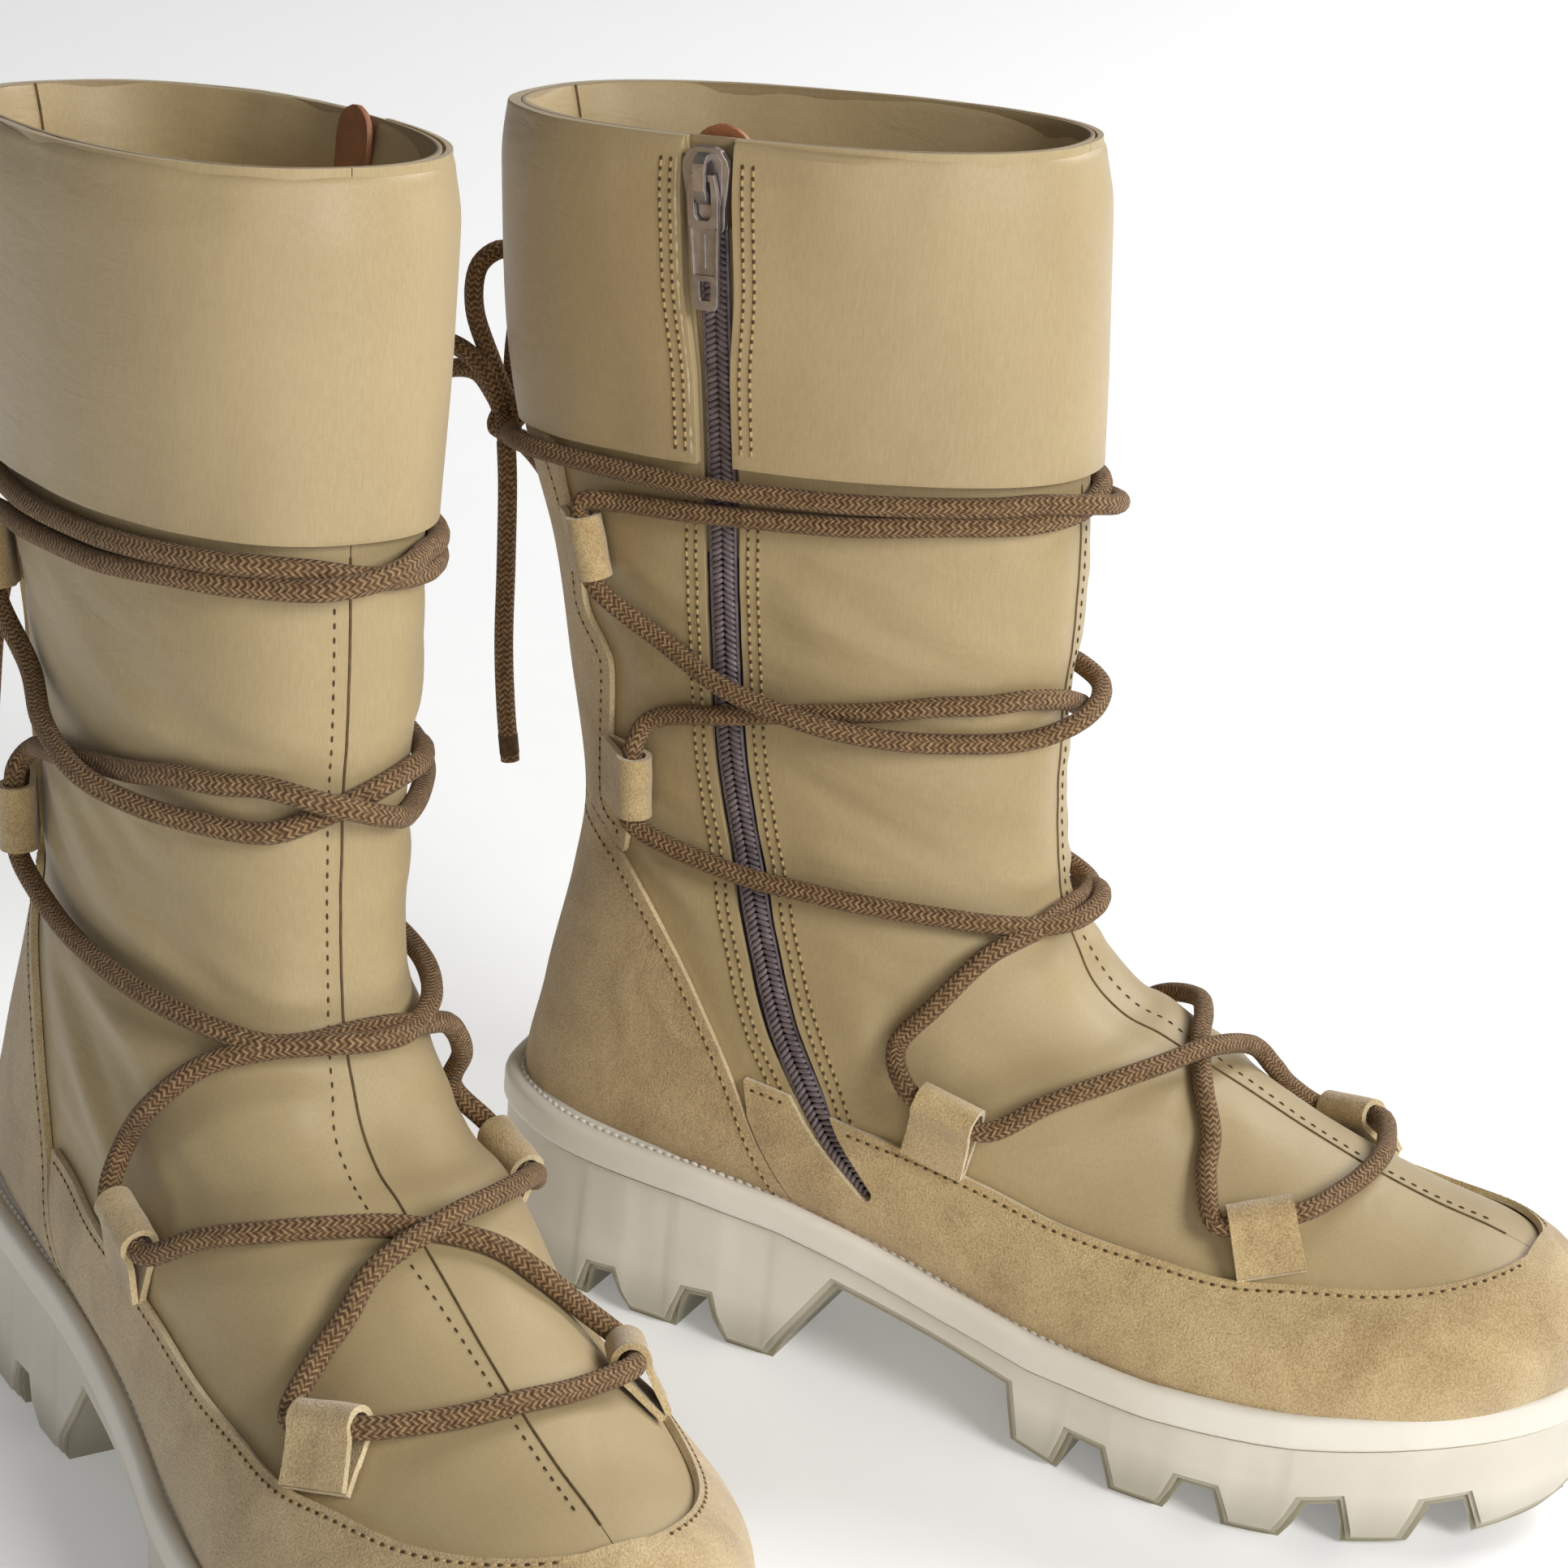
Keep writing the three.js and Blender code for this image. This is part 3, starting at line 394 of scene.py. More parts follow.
def inside_field(points, outline):
    """Distance inside (positive) or outside (negative) a closed outline in the XZ plane."""
    p = points[:, [0, 2]]
    ring = np.array(list(outline) + [outline[0]], float)
    crossings = np.zeros(len(p), int)
    for (ax, az), (bx, bz) in zip(ring, ring[1:]):
        straddles = (az > p[:, 1]) != (bz > p[:, 1])
        slope = (bx - ax) / (bz - az if bz != az else 1e-9)
        crossings += straddles & (p[:, 0] < ax + (p[:, 1] - az) * slope)
    distance, _ = nearest_on_line(p, ring)
    return np.where(crossings % 2 == 1, distance, -distance)


# ------------------------------------------------------------------ meshes

class Sheet:
    """A surface made of quads, with a point and a pair of cloth coordinates at each vertex."""

    def __init__(self, points, cloth, faces):
        self.points = np.asarray(points, float)
        self.cloth = np.asarray(cloth, float)
        self.faces = faces

    def cut(self, field):
        """The part where the field is positive, with a clean edge where it is zero."""
        f = np.asarray(field, float)
        f = np.where(np.abs(f) < 1e-6, 1e-6, f)
        points, cloth = list(self.points), list(self.cloth)
        kept, made = [], {}

        def crossing(i, j):
            key = (min(i, j), max(i, j))
            if key not in made:
                t = f[i] / (f[i] - f[j])
                made[key] = len(points)
                points.append(self.points[i] + t * (self.points[j] - self.points[i]))
                cloth.append(self.cloth[i] + t * (self.cloth[j] - self.cloth[i]))
            return made[key]

        for face in self.faces:
            signs = [f[i] > 0 for i in face]
            if all(signs):
                kept.append(face)
                continue
            if not any(signs):
                continue
            polygon = []
            for i, j in zip(face, face[1:] + face[:1]):
                if f[i] > 0:
                    polygon.append(i)
                if (f[i] > 0) != (f[j] > 0):
                    polygon.append(crossing(i, j))
            if len(polygon) >= 3:
                kept.append(tuple(polygon))
        return Sheet(points, cloth, kept).compact()

    def compact(self):
        used = sorted({i for face in self.faces for i in face})
        fresh = {old: new for new, old in enumerate(used)}
        faces = [tuple(fresh[i] for i in face) for face in self.faces]
        return Sheet(self.points[used], self.cloth[used], faces)


def grid_faces(rows, columns, wrap):
    faces = []
    for r in range(rows - 1):
        for c in range(columns if wrap else columns - 1):
            d = (c + 1) % columns
            faces.append((r * columns + c, (r + 1) * columns + c,
                          (r + 1) * columns + d, r * columns + d))
    return faces


def make(name, side, points, faces, material, body, replaces=(), slot=None, cloth=None,
         smooth=True):
    """A mesh object on one boot."""
    mesh = bpy.data.meshes.new(f"{side}_{name}_look")
    if side == "right":
        faces = [tuple(reversed(face)) for face in faces]
    mesh.from_pydata(place(points, side).tolist(), [], faces)
    if cloth is not None:
        layer = mesh.uv_layers.new(name="cloth")
        index = np.zeros(len(mesh.loops), int)
        mesh.loops.foreach_get("vertex_index", index)
        layer.data.foreach_set("uv", np.asarray(cloth, np.float32)[index].ravel())
    mesh.polygons.foreach_set("use_smooth", [smooth] * len(mesh.polygons))
    mesh.materials.append(material)
    obj = bpy.data.objects.new(f"{side}_{name}_look", mesh)
    bpy.context.scene.collection.objects.link(obj)
    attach(obj, f"{side}_{body}")
    if replaces:
        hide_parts(*[f"{side}_{node}" for node in replaces])
    return obj


def make_pair(name, points, faces, material, body="boot", **more):
    return [make(name, side, points, faces, material, body, **more) for side in SIDES]


def make_cloth(name, sheet, material, node, slot):
    """A sheet on both boots, in place of one CAD node."""
    return make_pair(name, sheet.points, sheet.faces, material, replaces=[node], slot=slot,
                     cloth=sheet.cloth)


def thicken(objects, thickness, bevel=0.0, offset=-1):
    """Gives sheets a thickness in millimetres, behind them with offset -1, and rounds the edges if
    a bevel is given.
    """
    for obj in objects:
        weld = obj.modifiers.new("weld", "WELD")
        weld.merge_threshold = 0.00002
        solid = obj.modifiers.new("thickness", "SOLIDIFY")
        solid.thickness = thickness / 1000
        solid.offset = offset
        solid.use_even_offset = False
        if bevel:
            round_edges([obj], bevel, 2)


def round_edges(objects, width, segments=2, angle=40):
    for obj in objects:
        bevel = obj.modifiers.new("edges", "BEVEL")
        bevel.width = width / 1000
        bevel.segments = segments
        bevel.limit_method = "ANGLE"
        bevel.angle_limit = math.radians(angle)
        bevel.harden_normals = False


def frames_along(points, up_hint=None):
    """Tangents and two crossing directions along a line, without twist."""
    p = np.asarray(points, float)
    tangent = np.gradient(p, axis=0)
    tangent /= np.linalg.norm(tangent, axis=1, keepdims=True) + 1e-12
    side = np.zeros_like(p)
    hint = np.array([0.0, 0, 1]) if abs(tangent[0][2]) < 0.9 else np.array([1.0, 0, 0])
    side[0] = np.cross(tangent[0], hint)
    for k in range(1, len(p)):
        side[k] = side[k - 1] - tangent[k] * (side[k - 1] @ tangent[k])
        side[k] /= np.linalg.norm(side[k]) + 1e-12
    side[0] /= np.linalg.norm(side[0])
    if up_hint is not None:
        up = np.asarray(up_hint, float)
        up = up - tangent * np.sum(up * tangent, 1, keepdims=True)
        up /= np.linalg.norm(up, axis=1, keepdims=True)
        return tangent, np.cross(up, tangent), up
    return tangent, side, np.cross(tangent, side)


def tube(points, radius, sides=14, flat=1.0, up=None):
    """A round or flattened tube along the points: vertices, faces, cloth coordinates."""
    p = np.asarray(points, float)
    radius = np.broadcast_to(np.asarray(radius, float), (len(p),))
    _, across, upward = frames_along(p, up)
    angle = np.linspace(0, 2 * np.pi, sides, endpoint=False)
    ring = (np.cos(angle)[None, :, None] * across[:, None]
            + flat * np.sin(angle)[None, :, None] * upward[:, None])
    verts = (p[:, None] + radius[:, None, None] * ring).reshape(-1, 3)
    along = lengths_along(p)
    cloth = np.stack([np.repeat(along, sides), np.tile(angle / (2 * np.pi), len(p))], 1)
    faces = [tuple(reversed(f)) for f in grid_faces(len(p), sides, True)]
    faces.append(tuple(range(sides))[::-1])
    faces.append(tuple(range(len(verts) - sides, len(verts))))
    return verts, faces, cloth


def many(template, faces, centres, x_axes, y_axes, z_axes, scale):
    """Copies of a small form at each centre, with its axes and scale (three numbers)."""
    t = np.asarray(template, float) * np.asarray(scale, float)
    verts = (centres[:, None] + t[None, :, :1] * x_axes[:, None]
             + t[None, :, 1:2] * y_axes[:, None] + t[None, :, 2:] * z_axes[:, None])
    count = len(t)
    copies = [tuple(i + k * count for i in face) for k in range(len(centres)) for face in faces]
    return verts.reshape(-1, 3), copies


def ball(rings=5, sides=8):
    """A small round form of unit radius: vertices and faces."""
    verts = [(0, 0, 1)]
    for r in range(1, rings):
        polar = math.pi * r / rings
        for s in range(sides):
            turn = 2 * math.pi * s / sides
            verts.append((math.sin(polar) * math.cos(turn), math.sin(polar) * math.sin(turn),
                          math.cos(polar)))
    verts.append((0, 0, -1))
    faces = [(0, 1 + s, 1 + (s + 1) % sides) for s in range(sides)]
    for r in range(rings - 2):
        for s in range(sides):
            a, b = 1 + r * sides + s, 1 + r * sides + (s + 1) % sides
            faces.append((a, a + sides, b + sides, b))
    last = len(verts) - 1
    base = 1 + (rings - 2) * sides
    faces += [(last, base + (s + 1) % sides, base + s) for s in range(sides)]
    return verts, faces


def dashes(line, normals, pitch, size, start=0.5):
    """Small raised forms along a line: stitches, or the holes between them."""
    along = lengths_along(line)
    wanted = np.arange(start * pitch, along[-1], pitch)
    centres = np.stack([np.interp(wanted, along, line[:, k]) for k in range(3)], 1)
    out = np.stack([np.interp(wanted, along, normals[:, k]) for k in range(3)], 1)
    ahead = np.stack([np.interp(wanted + 0.5, along, line[:, k]) for k in range(3)], 1) - centres
    behind = centres - np.stack(
        [np.interp(wanted - 0.5, along, line[:, k]) for k in range(3)], 1)
    ahead = ahead + behind
    ahead /= np.linalg.norm(ahead, axis=1, keepdims=True) + 1e-12
    out = out - ahead * np.sum(out * ahead, 1, keepdims=True)
    out /= np.linalg.norm(out, axis=1, keepdims=True)
    verts, faces = ball()
    return many(verts, faces, centres, ahead, np.cross(out, ahead), out, size)


def joined(parts):
    """Several (vertices, faces) as one."""
    verts, faces, start = [], [], 0
    for v, f in parts:
        verts.append(np.asarray(v, float))
        faces += [tuple(i + start for i in face) for face in f]
        start += len(v)
    return np.concatenate(verts), faces


# ------------------------------------------------------------------ materials

class Finish:
    """A node material with a few short helpers."""

    def __init__(self, name):
        self.data = bpy.data.materials.new(name)
        self.data.use_nodes = True
        self.nodes = self.data.node_tree.nodes
        self.bsdf = self.nodes["Principled BSDF"]

    def link(self, source, target):
        self.data.node_tree.links.new(source, target)

    def add(self, kind, **inputs):
        node = self.nodes.new(kind)
        for name, value in inputs.items():
            node.inputs[name].default_value = value
        return node

    def set(self, **values):
        for name, value in values.items():
            self.bsdf.inputs[name.replace("_", " ")].default_value = value
        return self


def linear(red, green, blue):
    """Linear colour from sRGB 0 to 255."""
    def channel(c):
        c /= 255
        return c / 12.92 if c <= 0.04045 else ((c + 0.055) / 1.055) ** 2.4
    return channel(red), channel(green), channel(blue)


def noise_node(mat, scale, detail, stretch=None, distortion=0.0):
    node = mat.add("ShaderNodeTexNoise", Scale=scale, Detail=detail, Distortion=distortion)
    vector = mat.nodes.new("ShaderNodeTexCoord").outputs["Object"]
    if stretch is not None:
        mapping = mat.add("ShaderNodeMapping", Scale=stretch)
        mat.link(vector, mapping.inputs["Vector"])
        vector = mapping.outputs["Vector"]
    mat.link(vector, node.inputs["Vector"])
    return node.outputs["Fac"]


def ramp_node(mat, socket, stops):
    node = mat.nodes.new("ShaderNodeValToRGB")
    mat.link(socket, node.inputs["Fac"])
    elements = node.color_ramp.elements
    while len(elements) < len(stops):
        elements.new(0.5)
    for element, (at, colour) in zip(elements, stops):
        element.position = at
        element.color = (*colour, 1)
    return node.outputs["Color"]


def grey_ramp(mat, socket, stops):
    return ramp_node(mat, socket, [(at, (value,) * 3) for at, value in stops])


def math_node(mat, operation, first, second=None):
    node = mat.nodes.new("ShaderNodeMath")
    node.operation = operation
    for socket, value in zip(node.inputs, (first, second)):
        if value is None:
            continue
        if isinstance(value, (int, float)):
            socket.default_value = value
        else:
            mat.link(value, socket)
    return node.outputs["Value"]


def mix_colours(mat, amount, first, second, blend="MIX"):
    node = mat.nodes.new("ShaderNodeMix")
    node.data_type = "RGBA"
    node.blend_type = blend
    for socket, value in ((node.inputs[0], amount), (node.inputs[6], first),
                          (node.inputs[7], second)):
        if isinstance(value, (int, float)):
            socket.default_value = value
        elif isinstance(value, tuple):
            socket.default_value = (*value, 1)
        else:
            mat.link(value, socket)
    return node.outputs[2]


def bump_node(mat, height, strength, distance, normal=None):
    node = mat.add("ShaderNodeBump", Strength=strength, Distance=distance)
    mat.link(height, node.inputs["Height"])
    if normal is not None:
        mat.link(normal, node.inputs["Normal"])
    return node.outputs["Normal"]


def cloth_axes(mat):
    """The two cloth coordinates, in millimetres along the cloth."""
    source = mat.nodes.new("ShaderNodeUVMap")
    source.uv_map = "cloth"
    split = mat.nodes.new("ShaderNodeSeparateXYZ")
    mat.link(source.outputs["UV"], split.inputs["Vector"])
    return split.outputs["X"], split.outputs["Y"]


def wave(mat, value, pitch):
    """A sine of the value, one turn in each pitch."""
    return math_node(mat, "SINE", math_node(mat, "MULTIPLY", value, 2 * math.pi / pitch))


def nylon_finish(name, light, dark, sheen=0.25, roughness=0.48):
    """Satin cloth: a fine twill, slack threads, and broad soft differences of tone."""
    mat = Finish(name)
    broad = noise_node(mat, 16, 3, distortion=0.4)
    tone = ramp_node(mat, broad, [(0.3, dark), (0.7, light)])
    slub = noise_node(mat, 1, 2, stretch=(2600, 2600, 260))
    tone = mix_colours(mat, 0.16, tone, grey_ramp(mat, slub, [(0.3, 0.25), (0.7, 0.8)]),
                       "SOFT_LIGHT")
    mat.link(tone, mat.bsdf.inputs["Base Color"])
    u, v = cloth_axes(mat)
    diagonal = math_node(mat, "ADD", u, v)
    twill = wave(mat, diagonal, 0.55)
    threads = math_node(mat, "MULTIPLY", wave(mat, u, 0.42), wave(mat, v, 0.42))
    weave = math_node(mat, "ADD", twill, threads)
    fine = bump_node(mat, weave, 0.12, 0.00008)
    puckers = noise_node(mat, 1, 3, stretch=(60, 60, 190), distortion=0.6)
    mat.link(bump_node(mat, puckers, 0.22, 0.0016, fine), mat.bsdf.inputs["Normal"])
    rough = grey_ramp(mat, broad, [(0.2, roughness - 0.05), (0.8, roughness + 0.08)])
    mat.link(rough, mat.bsdf.inputs["Roughness"])
    mat.set(Sheen_Weight=sheen, Sheen_Roughness=0.35, Specular_IOR_Level=0.38)
    return mat.data


def suede_finish(name, light, middle, dark):
    """Napped leather: brushed patches, a fine grain, and a velvet sheen."""
    mat = Finish(name)
    brushed = noise_node(mat, 48, 5, distortion=1.1)
    patches = noise_node(mat, 300, 4, distortion=0.5)
    grain = noise_node(mat, 2100, 3)
    tone = ramp_node(mat, brushed, [(0.28, dark), (0.5, middle), (0.74, light)])
    mottle = grey_ramp(mat, patches, [(0.3, 0.38), (0.7, 0.62)])
    tone = mix_colours(mat, 0.3, tone, mottle, "SOFT_LIGHT")
    speck = grey_ramp(mat, grain, [(0.34, 0.12), (0.62, 0.74)])
    tone = mix_colours(mat, 0.55, tone, speck, "SOFT_LIGHT")
    mat.link(tone, mat.bsdf.inputs["Base Color"])
    nap = bump_node(mat, grain, 0.8, 0.0005)
    mat.link(bump_node(mat, patches, 0.3, 0.0006, nap), mat.bsdf.inputs["Normal"])
    mat.set(Roughness=0.95, Sheen_Weight=0.5, Sheen_Roughness=0.55, Specular_IOR_Level=0.2)
    return mat.data


def rubber_finish(name, light, dark, tip):
    """Moulded rubber, slightly clouded, and a little clearer towards the tips of the lugs."""
    mat = Finish(name)
    cloud = noise_node(mat, 30, 4, distortion=0.5)
    tone = ramp_node(mat, cloud, [(0.3, dark), (0.7, light)])
    split = mat.nodes.new("ShaderNodeSeparateXYZ")
    coordinates = mat.nodes.new("ShaderNodeTexCoord")
    mat.link(coordinates.outputs["Object"], split.inputs["Vector"])
    height = math_node(mat, "MULTIPLY", split.outputs["Z"], 1 / 0.02)
    low = grey_ramp(mat, height, [(0.1, 1.0), (0.75, 0.0)])
    tone = mix_colours(mat, low, tone, tip)
    mat.link(tone, mat.bsdf.inputs["Base Color"])
    pores = noise_node(mat, 900, 3)
    flow = noise_node(mat, 120, 2)
    fine = bump_node(mat, pores, 0.12, 0.00012)
    mat.link(bump_node(mat, flow, 0.12, 0.0004, fine), mat.bsdf.inputs["Normal"])
    rough = grey_ramp(mat, cloud, [(0.2, 0.38), (0.8, 0.52)])
    mat.link(rough, mat.bsdf.inputs["Roughness"])
    mat.set(Subsurface_Weight=0.25, Subsurface_Scale=0.004, Specular_IOR_Level=0.4)
    mat.bsdf.inputs["Subsurface Radius"].default_value = (1.0, 0.85, 0.6)
    return mat.data


def lace_finish(name, light, dark):
    """Round braid: two sets of strands that cross, with painted shade between them, and stray
    fibres.
    """
    mat = Finish(name)
    along, around = cloth_axes(mat)
    right = math_node(mat, "ADD", math_node(mat, "DIVIDE", along, 1.9),
                      math_node(mat, "MULTIPLY", around, 7))
    left = math_node(mat, "SUBTRACT", math_node(mat, "DIVIDE", along, 1.9),
                     math_node(mat, "MULTIPLY", around, 7))
    over = math_node(mat, "GREATER_THAN", wave(mat, around, 1 / 7), 0)
    strands = math_node(mat, "MULTIPLY", over, wave(mat, right, 0.8))
    under = math_node(mat, "SUBTRACT", 1, over)
    braid = math_node(mat, "ADD", strands,
                      math_node(mat, "MULTIPLY", under, wave(mat, left, 0.8)))
    raised = grey_ramp(mat, math_node(mat, "ADD", math_node(mat, "MULTIPLY", braid, 0.5), 0.5),
                       [(0.15, 0.0), (0.85, 1.0)])
    fibres = noise_node(mat, 1100, 4)
    tone = ramp_node(mat, fibres, [(0.34, dark), (0.66, light)])
    # Painted shade: the colour darkens in the dips between the strands.
    shade = mix_colours(mat, raised, (0.36, 0.33, 0.30), (1.0, 1.0, 1.0))
    tone = mix_colours(mat, 1.0, tone, shade, "MULTIPLY")
    mat.link(tone, mat.bsdf.inputs["Base Color"])
    fine = bump_node(mat, fibres, 0.3, 0.00015)
    mat.link(bump_node(mat, raised, 0.7, 0.0005, fine), mat.bsdf.inputs["Normal"])
    mat.set(Roughness=0.85, Sheen_Weight=0.08, Sheen_Roughness=0.5, Specular_IOR_Level=0.2)
    return mat.data


def plain_finish(name, light, dark, scale, roughness, metallic=0.0, depth=0.0003, sheen=0.0):
    """Colour and roughness that vary over the surface, with a matching grain."""
    mat = Finish(name)
    coarse = noise_node(mat, scale, 4, distortion=0.3)
    fine = noise_node(mat, scale * 6, 3)
    mat.link(ramp_node(mat, coarse, [(0.3, dark), (0.7, light)]), mat.bsdf.inputs["Base Color"])
    rough = grey_ramp(mat, fine, [(0.3, roughness - 0.07), (0.7, roughness + 0.07)])
    mat.link(rough, mat.bsdf.inputs["Roughness"])
    mat.link(bump_node(mat, fine, 0.3, depth), mat.bsdf.inputs["Normal"])
    mat.set(Metallic=metallic, Sheen_Weight=sheen)
    return mat.data


def make_materials():
    return {
        "nylon": nylon_finish("nylon_cloth", linear(181, 161, 120), linear(170, 149, 109)),
        "cuff": nylon_finish("cuff_cloth", linear(182, 161, 121), linear(172, 151, 112),
                             sheen=0.3, roughness=0.44),
        # Painted shade: the lining is the same cloth as the outer nylon, made darker for the shade
        # inside the shaft.
        "lining": nylon_finish("lining_cloth", linear(160, 139, 102), linear(147, 126, 91),
                               sheen=0.15, roughness=0.6),
        "suede": suede_finish("suede", linear(203, 178, 130), linear(190, 164, 117),
                              linear(172, 145, 101)),
        "suede_edge": suede_finish("suede_cut_edge", linear(226, 208, 166),
                                   linear(214, 192, 146), linear(190, 164, 116)),
        "sole": rubber_finish("sole_rubber", linear(226, 219, 205), linear(212, 204, 188),
                              linear(176, 170, 152)),
        "sole_step": rubber_finish("sole_rubber_edge", linear(190, 184, 166),
                                   linear(176, 169, 150), linear(160, 154, 134)),
        "sole_tip": rubber_finish("sole_rubber_tread", linear(164, 158, 138),
                                  linear(150, 143, 122), linear(140, 134, 112)),
        "welt": rubber_finish("welt_rubber", linear(236, 230, 218), linear(226, 219, 205),
                              linear(226, 219, 205)),
        "lace": lace_finish("lace_braid", linear(176, 143, 104), linear(118, 91, 62)),
        "coil": plain_finish("zip_coil_plastic", linear(132, 119, 121), linear(92, 81, 84),
                             300, 0.42),
        "tape": plain_finish("zip_tape_cloth", linear(58, 50, 52), linear(36, 30, 32), 900, 0.9,
                             depth=0.0004, sheen=0.2),
        "metal": plain_finish("slider_metal", linear(186, 176, 172), linear(150, 140, 136),
                              240, 0.36, metallic=0.85, depth=0.0001),
        "tan": plain_finish("tan_leather", linear(166, 108, 70), linear(140, 88, 54), 160,
                            0.52, depth=0.0005),
        "felt": plain_finish("footbed_felt", linear(190, 176, 150), linear(160, 146, 120), 500,
                             0.97, depth=0.001, sheen=0.3),
        "board": plain_finish("fibre_board", linear(150, 130, 98), linear(124, 104, 76), 420,
                              0.9, depth=0.0005),
        "stiff": plain_finish("heel_stiffener", linear(222, 214, 196), linear(204, 196, 176),
                              200, 0.75),
        "thread": plain_finish("thread", linear(196, 170, 118), linear(166, 140, 92), 1400,
                               0.8, depth=0.0002, sheen=0.2),
        # Dark brown: painted shade at the needle holes; also used for the centre seam's stitches
        # and the sealed lace tips.
        "hole": plain_finish("needle_holes", linear(96, 74, 44), linear(66, 50, 30), 800, 0.95),
        "binding": plain_finish("cut_binding", linear(226, 212, 180), linear(196, 180, 142),
                                700, 0.95, depth=0.0008, sheen=0.3),
        # Painted shade: dark tubes laid in the seams stand for the shade in their grooves.
        "groove": plain_finish("seam_groove_painted_shade", linear(112, 92, 58), linear(84, 68, 42), 500, 0.9),
    }


# ------------------------------------------------------------------ lines on the upper

def on_side(line, side, lift):
    """Points over a line given in x, z, on the side of that sign, and their normals."""
    line = np.asarray(line, float)
    turn, where = find_on_side(line[:, 0], line[:, 1], side)
    normals = normals_at(turn, where)
    normals *= np.sign(normals[:, 1] * side)[:, None]
    return upper(turn, where, lift), normals


def offset_line(line, distance):
    """A line in x, z moved to its left by a distance."""
    return line + distance * to_left(directions(line))


def zip_centre(count=160, above=False):
    return spline(([ZIP_ABOVE] if above else []) + ZIP_LINE, count)


def zip_half(z, narrow, wide):
    """Half width of the opening over the zip: wide where the slider runs, closing at its foot."""
    open_half = narrow + (wide - narrow) * smoothstep(*WIDENING, z)
    return open_half * (0.3 + 0.7 * smoothstep(*CLOSING, z))


def zip_field(points, narrow, wide):
    """Distance outside the opening over the zip."""
    away, _ = nearest_on_line(points[:, [0, 2]], zip_centre(120, above=True))
    return np.where(points[:, 1] < 0, away - zip_half(points[:, 2], narrow, wide), 50)


# ------------------------------------------------------------------ the lace

def loop_frame(name, side):
    (x, z), lean, length, stand = LOOPS[name]
    turn, where = find_on_side(x, z, side)
    out = normals_at(turn, where)[0]
    out = out * np.sign(out[1] * side)
    strip = np.array([lean[0], 0, lean[1]], float)
    strip = unit(strip - out * (strip @ out))
    foot = upper(turn, where, stand)[0]
    return foot, strip, unit(np.cross(out, strip)), out, length


def mix(p, q, t):
    return p + (q - p) * t


def lace_half(lean):
    """The stops of one half of the lace, from the toe bar to the knot, as in the CAD part."""
    under, over = (LOW, HIGH) if lean > 0 else (HIGH, LOW)
    return [
        (-0.045, 12.95, LOW + 0.4),
        "front",
        (-0.106, 11.5, LOW), (-0.075, 11, LOW), (-0.035, 10.3, mix(LOW, under, 0.5)),
        (0.004, 9.57, under + 0.6), (0.04, 9.25, mix(THROAT, under, 0.5)),
        (0.085, 9.1, THROAT), (0.14, 9.1, THROAT),
        "instep",
        (0.195, 7.35, LOW + 0.6), (0.165, 6.6, THROAT + 0.8), (0.12, 5.85, THROAT + 0.8),
        (0.067, 5.55, THROAT), (0.03, 5.45, mix(THROAT, over, 0.7)), (0, 5.45, over + 0.4),
        (-0.03, 5.5, mix(THROAT, over, 0.7)), (-0.067, 5.5, THROAT), (-0.15, 5.38, LOW + 1.4),
        (-0.229, 5.33, LOW + 0.6), (-0.267, 5.27, LOW + 0.6),
        "mid_rear",
        (-0.31, 4.12, LOW), (-0.262, 3.95, LOW + 0.6), (-0.221, 3.8, LOW),
        (-0.146, 3.62, LOW), (-0.07, 3.56, LOW), (-0.03, 3.6, mix(LOW, under, 0.7)),
        (0, 3.68, under), (0.03, 3.78, mix(LOW, under, 0.7)), (0.07, 3.88, LOW),
        (0.13, 3.9, LOW), (0.18, 3.88, mix(LOW, HIGH, 0.6)), (0.221, 3.82, HIGH),
        (0.26, 3.7, mix(LOW, HIGH, 0.6)), (0.3, 3.48, LOW),
        "upper_rear",
        (0.315, 2.4, LOW), (0.27, 2.37, LOW), (0.212, 2.33, LOW), (0.142, 2.27, LOW),
        (0.07, 2.26, LOW), (0.03, 2.24, mix(LOW, over, 0.7)), (0, 2.2, over),
        (-0.03, 2.15, mix(LOW, over, 0.7)), (-0.07, 2.13, LOW), (-0.142, 2.14, LOW),
        (-0.212, 2.16, LOW), (-0.262, 2.16, LOW + 0.6), (-0.32, 2.14, LOW),
        (-0.38, 2.13, LOW + 1.6), (-0.44, 2.16, LOW + 3), (-0.478, 2.2, LOW + 4.5),
    ]


def lace_points(lean):
    points, last = [], None
    for stop in lace_half(lean):
        if not isinstance(stop, str):
            pieces = math.ceil(abs(stop[0] - last[0]) / LONGEST_TURN) if last else 1
            for k in range(1, pieces + 1):
                turn, where, lift = (
                    [mix(a, b, k / pieces) for a, b in zip(last, stop)] if last else stop)
                points.append(upper((lean * turn) % 1, where, lift - SNUG))
            last = stop
            continue
        last = None
        side = 1 if points[-1][1] > 0 else -1
        foot, strip, bore, out, length = loop_frame(stop, side)
        centre = foot + strip * length + out * (LOOP_WALL + LOOP_BORE)
        rising = LOOPS[stop][1][0] > 0.5
        if (bore[2] < 0) if rising else (bore[0] > 0):
            bore = -bore
        for step in (-BORE_RUN, 0, BORE_RUN):
            points.append(centre + bore * step * LOOP_WIDTH)
    return points


def lace_line():
    """Middle line of the wrapped lace, from one side of the knot to the other."""
    toe = upper(0.0, 13, LOW + 0.4 - SNUG)
    points = lace_points(-1)[::-1] + [toe] + lace_points(1)
    return spline(points, 1500)


def add_lace(mats):
    """The lace that is wrapped round the boot; returns its middle line."""
    line = lace_line()
    verts, faces, cloth = tube(line, LACE_RADIUS, 14)
    for obj in make_pair("lace", verts, faces, mats["lace"], replaces=["lace"], slot="lace_cord",
                         cloth=cloth):
        wrap_cloth(obj)
    return line


